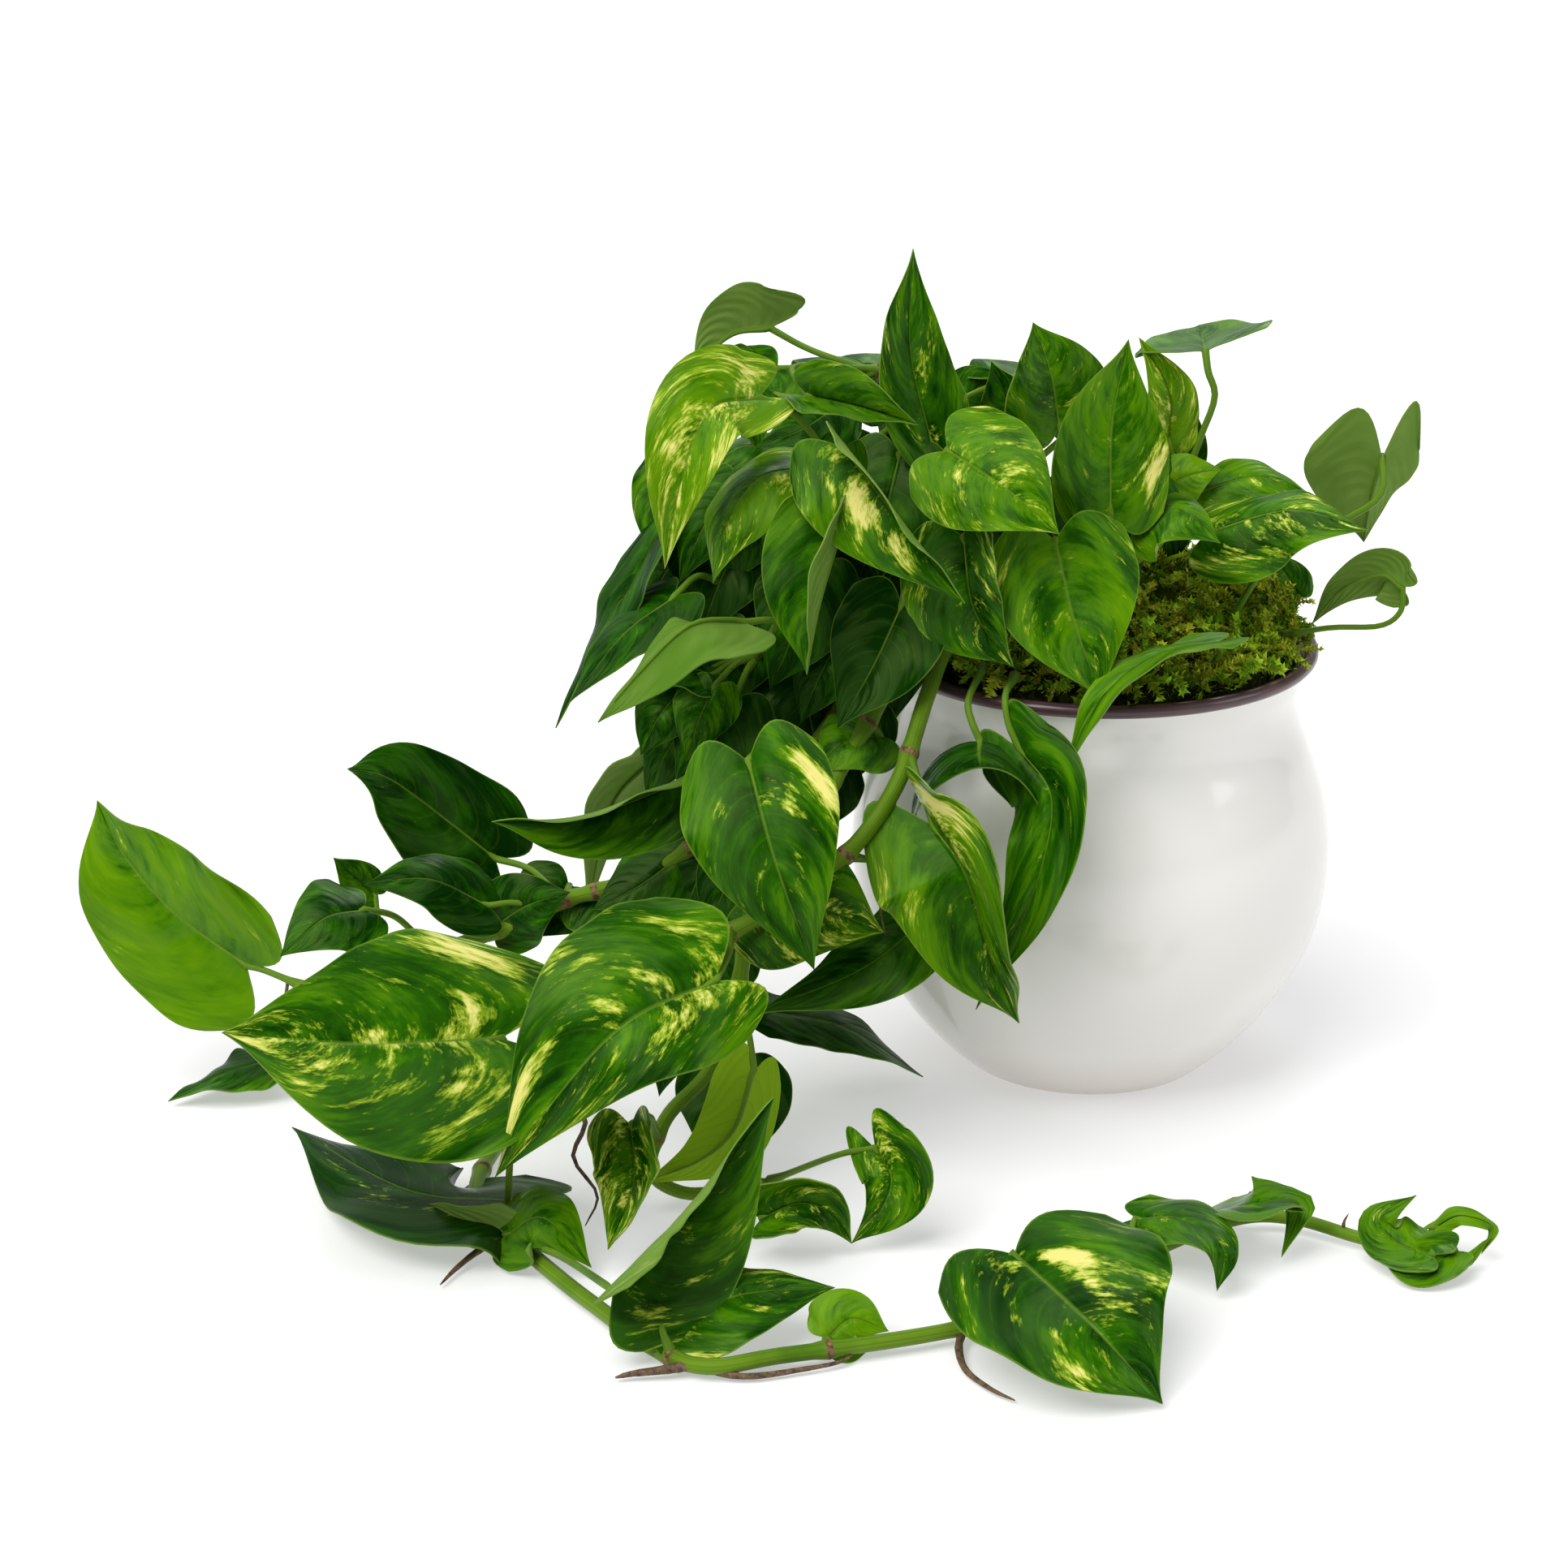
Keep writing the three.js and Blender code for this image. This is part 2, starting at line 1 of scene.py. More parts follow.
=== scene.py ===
# A golden pothos in a white glazed pot with a rolled brown rim.
# Metres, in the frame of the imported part: +Z up, the middle of the pot's foot at the origin.
# The leaf and vine tables are in millimetres.

import math
import random

import bpy
import numpy as np
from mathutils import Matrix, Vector, noise


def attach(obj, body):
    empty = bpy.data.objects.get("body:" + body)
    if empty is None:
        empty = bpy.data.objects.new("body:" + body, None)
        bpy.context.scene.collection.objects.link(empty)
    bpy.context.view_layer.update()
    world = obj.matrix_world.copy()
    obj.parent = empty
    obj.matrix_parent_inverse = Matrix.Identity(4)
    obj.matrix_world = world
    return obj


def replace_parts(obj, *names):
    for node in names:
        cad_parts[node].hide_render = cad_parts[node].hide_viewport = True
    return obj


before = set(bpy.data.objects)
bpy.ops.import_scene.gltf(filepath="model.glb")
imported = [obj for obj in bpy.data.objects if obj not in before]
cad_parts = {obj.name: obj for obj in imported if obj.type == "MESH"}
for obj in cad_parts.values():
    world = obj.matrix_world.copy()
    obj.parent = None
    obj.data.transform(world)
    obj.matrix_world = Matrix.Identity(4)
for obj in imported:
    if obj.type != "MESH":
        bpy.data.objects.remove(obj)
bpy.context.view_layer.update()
mm = 0.001


def selectOnly(*pieces):
    bpy.ops.object.select_all(action="DESELECT")
    for piece in pieces:
        piece.select_set(True)
    bpy.context.view_layer.objects.active = pieces[0]


view = {"place": (-0.1285, -1.385, 0.6215), "pitch": 70.06, "lens": 80.74, "sensor": 36}

bpy.ops.object.camera_add(location=view["place"], rotation=(math.radians(view["pitch"]), 0, 0))
camera = bpy.context.object
camera.name = "camera"
camera.data.lens = view["lens"]
camera.data.sensor_width = view["sensor"]
bpy.context.scene.camera = camera

# each lamp: kind, place, aim, size in metres or degrees, strength, colour
lamps = {
    "overhead_sky": ("SUN", (-0.55, -0.5, 1.3), (0, 0, 0), 46, 2.95, (1, 0.995, 0.98)),
    "front_window": ("AREA", (-0.9, -1.1, 1.1), (0, 0, 0.12), 0.35, 3.5, (0.95, 0.98, 1)),
    "side_softbox": ("AREA", (1.35, -0.4, 0.8), (0, 0, 0.12), 0.7, 3.5, (0.97, 0.99, 1)),
    "back_softbox": ("AREA", (0.2, 1.2, 1.5), (-0.1, 0, 0.15), 1.0, 9, (1, 1, 1)),
}
for name, (kind, place, aim, size, strength, colour) in lamps.items():
    bpy.ops.object.light_add(type=kind, location=place)
    lamp = bpy.context.object
    lamp.name = name
    if kind == "SUN":
        lamp.data.angle = math.radians(size)
    else:
        lamp.data.shape = "SQUARE"
        lamp.data.size = size
    lamp.data.energy = strength
    lamp.data.color = colour
    lamp.rotation_euler = (Vector(aim) - Vector(place)).to_track_quat("-Z", "Y").to_euler()

room = bpy.data.worlds.new("room")
room.use_nodes = True
room.node_tree.nodes["Background"].inputs["Color"].default_value = (0.97, 0.985, 1, 1)
room.node_tree.nodes["Background"].inputs["Strength"].default_value = 0.35
bpy.context.scene.world = room
bpy.context.scene.view_settings.view_transform = "Standard"
print("camera and lights ready")


# One socket of a shader graph. Sums and products of wires add Math nodes.
class Wire:
    def __init__(self, tree, socket=None):
        self.tree = tree
        self.socket = socket

    def add(self, kind, settings=None, inputs=None, output=0):
        node = self.tree.nodes.new(kind)
        for key, value in (settings or {}).items():
            if key != "stops":
                setattr(node, key, value)
                continue
            ramp = node.color_ramp
            for place, colour in value[1:-1]:
                ramp.elements.new(place)
            for element, (place, colour) in zip(ramp.elements, value):
                element.position = place
                element.color = (*colour, 1)
        for key, value in (inputs or {}).items():
            self.plug(node.inputs[key], value)
        return Wire(self.tree, node.outputs[output])

    def plug(self, target, value):
        if isinstance(value, Wire):
            self.tree.links.new(value.socket, target)
        elif hasattr(target.default_value, "__len__") and len(target.default_value) == 4:
            target.default_value = (*value[:3], 1)
        else:
            target.default_value = value

    def maths(self, operation, *others, clamp=False):
        values = dict(enumerate((self, *others)))
        return self.add("ShaderNodeMath", {"operation": operation, "use_clamp": clamp}, values)

    def __add__(self, other):
        return self.maths("ADD", other)

    __radd__ = __add__

    def __sub__(self, other):
        return self.maths("SUBTRACT", other)

    def __rsub__(self, other):
        return self.add("ShaderNodeMath", {"operation": "SUBTRACT"}, {0: other, 1: self})

    def __mul__(self, other):
        return self.maths("MULTIPLY", other)

    __rmul__ = __mul__

    # 0 at low and 1 at high, which may be the lower number
    def ramp(self, low, high):
        return self.maths("SUBTRACT", low).maths("DIVIDE", high - low, clamp=True)

    def mix(self, factor, first, second):
        return self.add("ShaderNodeMix", {"data_type": "RGBA"}, {0: factor, 6: first, 7: second}, 2)

    def noise(self, vector, scale, detail, roughness=0.5):
        inputs = {"Vector": vector, "Scale": scale, "Detail": detail, "Roughness": roughness}
        return self.add("ShaderNodeTexNoise", {}, inputs)

    def vector(self, x, y, z):
        return self.add("ShaderNodeCombineXYZ", {}, {0: x, 1: y, 2: z})

    # Object coordinates
    def place(self):
        return self.add("ShaderNodeTexCoord", output=3)

    def attribute(self, name):
        return self.add("ShaderNodeAttribute", {"attribute_name": name}, {}, 2)

    def bump(self, height, distance, strength):
        return self.add("ShaderNodeBump", {}, {"Height": height, "Distance": distance, "Strength": strength})

    # Position along and across a strip, from the map that each leaf, stalk and vine carries
    def strip(self):
        uv = self.add("ShaderNodeUVMap", {"uv_map": "growthMap"})
        along = self.add("ShaderNodeSeparateXYZ", {}, {0: uv}, 0)
        across = Wire(self.tree, along.socket.node.outputs[1])
        return along, across


def newMaterial(name, settings):
    material = bpy.data.materials.new(name)
    material.use_nodes = True
    shader = material.node_tree.nodes["Principled BSDF"]
    wires = Wire(material.node_tree)
    for key, value in settings.items():
        wires.plug(shader.inputs[key], value)
    material.diffuse_color = (*settings.get("Base Color", (0.1, 0.3, 0.05)), 1)
    return material, wires


# Links what varies over the surface to the shader
def finish(material, wires, colour, roughness=None, normal=None):
    shader = material.node_tree.nodes["Principled BSDF"]
    for name, value in (("Base Color", colour), ("Roughness", roughness), ("Normal", normal)):
        if value is not None:
            wires.plug(shader.inputs[name], value)
    return material


floorLook = {"Base Color": (0.54, 0.54, 0.54), "Roughness": 0.8, "Specular IOR Level": 0.1,
             "Emission Color": (1, 1, 1), "Emission Strength": 0.41}
bpy.ops.mesh.primitive_plane_add(size=40)
floor = bpy.context.object
floor.name = "studio_floor"
floor.data.materials.append(newMaterial("floorPaper", floorLook)[0])

# Linear colours of the leaves, stalks and vines
greens = {
    "deep": (0.001, 0.025, 0.0004),
    "mid": (0.024, 0.13, 0.0005),
    "fresh": (0.11, 0.245, 0.0015),
    # painted sheen: a grey green standing in for soft reflections on the waxy leaf face
    "sheenGrey": (0.05, 0.125, 0.022),
    "lime": (0.29, 0.41, 0.02),
    "cream": (0.76, 0.68, 0.22),
    "under": (0.075, 0.17, 0.014),
    "underPale": (0.19, 0.30, 0.06),
    "stalk": (0.065, 0.155, 0.008),
    "stalkPale": (0.14, 0.25, 0.02),
    "vine": (0.09, 0.185, 0.004),
    "vineDeep": (0.03, 0.10, 0.004),
    "bark": (0.09, 0.05, 0.025),
    "barkPale": (0.26, 0.17, 0.08),
}

veinsPerLeaf = 9
leafGloss = {"Roughness": 0.34, "Specular IOR Level": 0.26, "Subsurface Weight": 0.12,
             "Specular Tint": (0.32, 0.5, 0.12),
             "Subsurface Radius": (0.5, 1.0, 0.15), "Subsurface Scale": 0.0012}


# The coordinates that both sides of a leaf share. stripe follows the side veins, which leave the
# rib and bend towards the tip, and half runs from 0 at the rib to 1 at the margin.
def leafCoordinates(wires):
    along, across = wires.strip()
    signed = across * 2 - 1
    half = signed.maths("ABSOLUTE")
    stripe = along - half * 0.2 - half * half * 0.18
    leftSide = signed.maths("GREATER_THAN", 0.0)
    start = wires.attribute("seed") + leftSide * 5.3
    return along, signed, half, stripe, start


# How much cream shows: broad streaks along the veins, broken up by finer ones
def creamMasks(wires, half, stripe, start):
    amount = wires.attribute("cream")
    broad = wires.noise(wires.vector(stripe * 7, half * 1.7, start), 1, 4, 0.6)
    fine = wires.noise(wires.vector(stripe * 46, half * 8, start + 9), 1, 5, 0.7)
    level = broad * 0.62 + fine * 0.38 + amount * 0.25
    flecks = fine * 0.6 + broad * 0.4 + amount * 0.22
    lime = (level - 0.72).ramp(0, 0.075).maths("MAXIMUM", (flecks - 0.74).ramp(0, 0.04) * 0.8)
    return lime, (level - 0.775).ramp(0, 0.075) * 0.92


def sideVeins(stripe, width):
    return ((stripe * veinsPerLeaf).maths("FRACT") - 0.5).maths("ABSOLUTE").ramp(width, 0.0)


def leafFaceMaterial():
    material, wires = newMaterial("leafFace", leafGloss)
    along, signed, half, stripe, start = leafCoordinates(wires)
    # tone darkens or lightens the whole leaf: partly its own colour, partly painted shade on leaves that sit
    # in shadow
    tone = wires.attribute("tone")
    cloud = wires.noise(wires.vector(stripe * 3.2, half * 1.3, start + 20), 1, 5, 0.6)
    sector = wires.noise(wires.vector(stripe * 4.5, half * 0.8, start + 40), 1, 2)
    wisps = wires.noise(wires.vector(stripe * 20, half * 2.4, start + 70), 1, 4, 0.6)
    shade = ((cloud - 0.5) * 3.4 + (wisps - 0.5) * 1.2 + 0.55 + tone * 1.1).ramp(0, 1)
    green = wires.mix(shade, greens["deep"], greens["mid"])
    light = ((cloud - 0.5) * 2.6 + (wisps - 0.5) * 1.4 + tone * 1.2 + half * 0.25 - 0.12).ramp(0, 1)
    green = wires.mix(light, green, greens["fresh"])
    # painted sheen: grey patches stand in for the soft reflections on the waxy face, and the same mask
    # raises the roughness there
    paintedSheen = sector.ramp(0.5, 0.58)
    green = wires.mix(paintedSheen * 0.22, green, greens["sheenGrey"])
    lime, cream = creamMasks(wires, half, stripe, start)
    colour = wires.mix(lime, green, greens["lime"])
    colour = wires.mix(cream, colour, greens["cream"])
    # veins: a pale rib, and faint side veins on each half
    vein = sideVeins(stripe, 0.07) * half.ramp(1.0, 0.6)
    colour = wires.mix(vein * 0.12, colour, greens["fresh"])
    rib = half.ramp(0.028, 0.006)
    colour = wires.mix(rib * 0.5, colour, greens["stalkPale"])
    edge = half.ramp(0.975, 0.992).maths("MAXIMUM", along.ramp(0.008, 0.004))
    colour = wires.mix(edge * 0.5, colour, greens["stalkPale"])
    quilt = (stripe * (veinsPerLeaf * 2 * math.pi)).maths("COSINE")
    pores = wires.noise(wires.vector(along * 90, signed * 60, start), 1, 2)
    pillow = wires.noise(wires.vector(stripe * 9, half * 1.2, start + 60), 1, 2)
    height = quilt * half.ramp(0, 0.35) * half.ramp(1.0, 0.55) * 0.16 + pillow * 0.8
    height = height + half.ramp(0.0, 0.05) * 1.4 + pores * 0.06
    return finish(material, wires, colour, 0.23 + paintedSheen * 0.12 + cloud * 0.1,
                  wires.bump(height, 0.0005, 0.7))


def leafBackMaterial():
    look = dict(leafGloss, **{"Specular IOR Level": 0.06})
    material, wires = newMaterial("leafBack", look)
    half, stripe, start = leafCoordinates(wires)[2:]
    tone = wires.attribute("tone")
    cloud = wires.noise(wires.vector(stripe * 2.5, half, start + 20), 1, 3)
    colour = wires.mix((cloud * 1.3 - 0.15 + tone * 0.35).ramp(0, 1), greens["under"], greens["underPale"])
    # painted glow: a tone above 0.5 turns the underside lime, standing in for light shining through the leaf
    colour = wires.mix((tone - 0.5).ramp(0, 0.3), colour, (0.21, 0.37, 0.012))
    lime, cream = creamMasks(wires, half, stripe, start)
    colour = wires.mix(lime * 0.45, colour, (0.42, 0.48, 0.16))
    colour = wires.mix(sideVeins(stripe, 0.1) * 0.22, colour, greens["under"])
    colour = wires.mix(half.ramp(0.05, 0.01) * 0.7, colour, greens["stalkPale"])
    quilt = (stripe * (veinsPerLeaf * 2 * math.pi)).maths("COSINE")
    height = half.ramp(0.08, 0.0) * 1.5 - quilt * half.ramp(0, 0.3) * half.ramp(1.0, 0.6) * 0.45
    return finish(material, wires, colour, 0.6 + cloud * 0.1, wires.bump(height, 0.0005, 0.7))


# Stalks and vines: fine lines along the stem, brown where knot is high
def stemMaterial(name, main, pale, roughness):
    look = {"Roughness": roughness, "Subsurface Weight": 0.1, "Subsurface Scale": 0.001,
            "Subsurface Radius": (0.5, 1.0, 0.2), "Specular IOR Level": 0.25,
            "Specular Tint": (0.4, 0.5, 0.15)}
    material, wires = newMaterial(name, look)
    along, across = wires.strip()
    place = wires.place()
    turn = across * (2 * math.pi)
    ring = wires.vector(turn.maths("COSINE") * 2, turn.maths("SINE") * 2, along * 1.5)
    lines = wires.noise(ring, 2.2, 3, 0.6)
    patches = wires.noise(place, 28, 3)
    colour = wires.mix(lines.ramp(0.35, 0.65), main, pale)
    colour = wires.mix(patches.ramp(0.52, 0.72) * 0.6, colour, greens["vineDeep"])
    knot = wires.attribute("knot")
    bark = wires.mix(wires.noise(place, 420, 3).ramp(0.4, 0.6), greens["bark"], greens["barkPale"])
    grain = wires.noise(place, 900, 2)
    colour = wires.mix((knot + grain * 0.5 - 0.25).ramp(0.35, 0.6), colour, bark)
    return finish(material, wires, colour, roughness + knot * 0.35,
                  wires.bump(lines + grain * (0.15 + knot), 0.0006, 0.5))


def rootMaterial():
    material, wires = newMaterial("rootBark", {"Roughness": 0.7})
    place = wires.place()
    grain = wires.noise(place, 520, 4, 0.65)
    colour = wires.mix(grain.ramp(0.35, 0.7), (0.035, 0.018, 0.01), (0.2, 0.12, 0.055))
    return finish(material, wires, colour, normal=wires.bump(grain, 0.0007, 0.8))


leafFace = leafFaceMaterial()
leafBack = leafBackMaterial()
stalkSkin = stemMaterial("stalkSkin", greens["stalk"], greens["stalkPale"], 0.36)
vineSkin = stemMaterial("vineSkin", greens["vine"], greens["stalkPale"], 0.38)
rootBark = rootMaterial()
print("leaf and stem finishes ready")


# Points on a smooth curve through the given points. A share of 0.5 is half the way by number of spans.
def curvePoints(points, shares):
    points = np.asarray(points, float)
    padded = np.vstack([2 * points[0] - points[1], points, 2 * points[-1] - points[-2]])
    spans = len(points) - 1
    x = np.clip(np.asarray(shares, float), 0, 1) * spans
    index = np.minimum(x.astype(int), spans - 1)
    f = (x - index)[..., None]
    a, b, c, d = (padded[index + k] for k in range(4))
    slopeIn, slopeOut = (c - a) / 2, (d - b) / 2
    bend = 2 * b - 2 * c + slopeIn + slopeOut
    sweep = -3 * b + 3 * c - 2 * slopeIn - slopeOut
    return bend * f**3 + sweep * f**2 + slopeIn * f + b


def unit(vectors):
    return vectors / np.linalg.norm(vectors, axis=-1, keepdims=True)


def curveDirections(points, shares):
    step = 0.002
    middle = np.clip(shares, step, 1 - step)
    return unit(curvePoints(points, middle + step) - curvePoints(points, middle - step))


# A round tapering rod along points, one radius for each, as a mesh with its growth map
def addRod(name, points, radii, sides=8):
    curve = bpy.data.curves.new(name, "CURVE")
    curve.dimensions = "3D"
    curve.bevel_depth = mm
    curve.bevel_resolution = sides // 2 - 2
    curve.use_fill_caps = True
    spline = curve.splines.new("POLY")
    spline.points.add(len(points) - 1)
    for spot, place, radius in zip(spline.points, points, radii):
        spot.co = (place[0], place[1], max(place[2], radius + 0.1 * mm), 1)
        spot.radius = radius / mm
    rod = bpy.data.objects.new(name, curve)
    bpy.context.collection.objects.link(rod)
    selectOnly(rod)
    bpy.ops.object.convert(target="MESH")
    rod = bpy.context.object
    bpy.ops.object.shade_smooth()
    if rod.data.uv_layers:
        rod.data.uv_layers[0].name = "growthMap"
    else:
        rod.data.uv_layers.new(name="growthMap")
    return rod


def setAttribute(piece, name, values):
    layer = piece.data.attributes.get(name) or piece.data.attributes.new(name, "FLOAT", "POINT")
    count = len(piece.data.vertices)
    layer.data.foreach_set("value", np.broadcast_to(np.asarray(values, np.float32), count).copy())


def vertexPlaces(piece):
    places = np.empty(len(piece.data.vertices) * 3)
    piece.data.vertices.foreach_get("co", places)
    return places.reshape(-1, 3)


def wear(piece, *looks):
    piece.data.materials.clear()
    for look in looks:
        piece.data.materials.append(look)


def joinTo(main, *others):
    selectOnly(main, *others)
    bpy.ops.object.join()


vine = {"samples": 400, "sides": 14, "stepsPerMm": 0.35, "body": 0.93, "taper": 0.28,
        "tip": [0.9, 0.7, 0.35], "nodeSwell": 0.26, "nodeReach": 3.2 * mm, "ringReach": 1.3 * mm,
        "spareStart": 40 * mm, "spareStep": 90 * mm, "spareGap": 45 * mm}

# millimetres: a radius, then the points from the moss out to the tip
vines = {
    "vine_trail": (3.5, [[-52, -38, 192], [-64, -62, 199], [-73, -86, 186], [-85, -108, 158],
                         [-104, -122, 135], [-130, -130, 117], [-152, -134, 105], [-180, -138, 84],
                         [-206, -110, 46], [-222, -72, 14], [-238, -92, 6], [-248, -135, 5],
                         [-246, -165, 5], [-233, -188, 5], [-200, -240, 5], [-163, -286, 5],
                         [-128, -282, 6], [-64, -262, 6], [-22, -234, 6], [16, -196, 5], [46, -176, 6],
                         [68, -177, 6], [96, -193, 5], [120, -190, 6]]),
    "vine_loop": (3.5, [[-72, -40, 188], [-82, -64, 194], [-94, -84, 178], [-111, -100, 154],
                        [-130, -112, 126], [-143, -118, 95], [-148, -126, 71], [-158, -138, 50],
                        [-174, -150, 36], [-180, -158, 18], [-168, -156, 7], [-150, -152, 6],
                        [-134, -150, 9]]),
    "vine_left": (3.5, [[-70, -24, 188], [-86, -42, 198], [-102, -62, 180], [-124, -78, 154],
                        [-153, -86, 134], [-175, -86, 116], [-197, -84, 106], [-217, -84, 100],
                        [-240, -84, 88], [-266, -86, 80], [-296, -84, 70], [-324, -72, 57]]),
    "vine_back": (3.5, [[-50, 22, 190], [-66, 48, 200], [-86, 76, 188], [-110, 94, 160], [-134, 92, 126],
                        [-156, 76, 90], [-175, 52, 52], [-188, 28, 18], [-202, -2, 6], [-214, -30, 5]]),
    "crown_left": (3, [[-60, -20, 190], [-74, -30, 220], [-92, -38, 243], [-114, -38, 252],
                       [-136, -34, 247], [-149, -38, 230], [-150, -46, 210], [-140, -60, 194]]),
    "crown_centre": (3, [[-46, -8, 190], [-56, -12, 226], [-66, -10, 256], [-78, -6, 282], [-92, -4, 297]]),
    "crown_right": (3, [[-14, -26, 190], [-8, -38, 212], [6, -44, 226], [22, -38, 238], [30, -28, 250]]),
}

vineCurves = {}
for name, (radius, route) in vines.items():
    points = curvePoints(np.array(route) * mm, np.linspace(0, 1, vine["samples"]))
    lengths = np.concatenate([[0], np.cumsum(np.linalg.norm(np.diff(points, axis=0), axis=1))])
    vineCurves[name] = {"points": points, "lengths": lengths, "nodes": [], "radius": radius * mm}


# The vine nearest to a place, and the number of its nearest point
def nearestVine(place):
    best = None
    for name, line in vineCurves.items():
        gaps = np.linalg.norm(line["points"] - place, axis=1)
        index = int(np.argmin(gaps))
        if best is None or gaps[index] < best[0]:
            best = (gaps[index], name, index)
    return best[1], best[2]


leaf = {"along": 30, "across": 22, "slices": 8, "sheet": 0.55 * mm, "ribDepth": 0.7 * mm,
        "quilt": 0.05 * mm, "twist": 14, "patchCream": 0.9, "stalk": 1.55 * mm, "stalkFoot": 2.7 * mm,
        "stalkFlare": 6 * mm, "stalkPoints": 18, "ribPoints": 12, "vineReach": 12 * mm, "knot": 5 * mm}

# What a leaf has where its row doesn't say otherwise. Fold and curl are in degrees.
plainLeaf = {"halves": 1, "lobe": 0.14, "fold": 0, "curl": -24, "wave": 0.024, "cream": 0.2, "tone": 0,
             "patch": []}
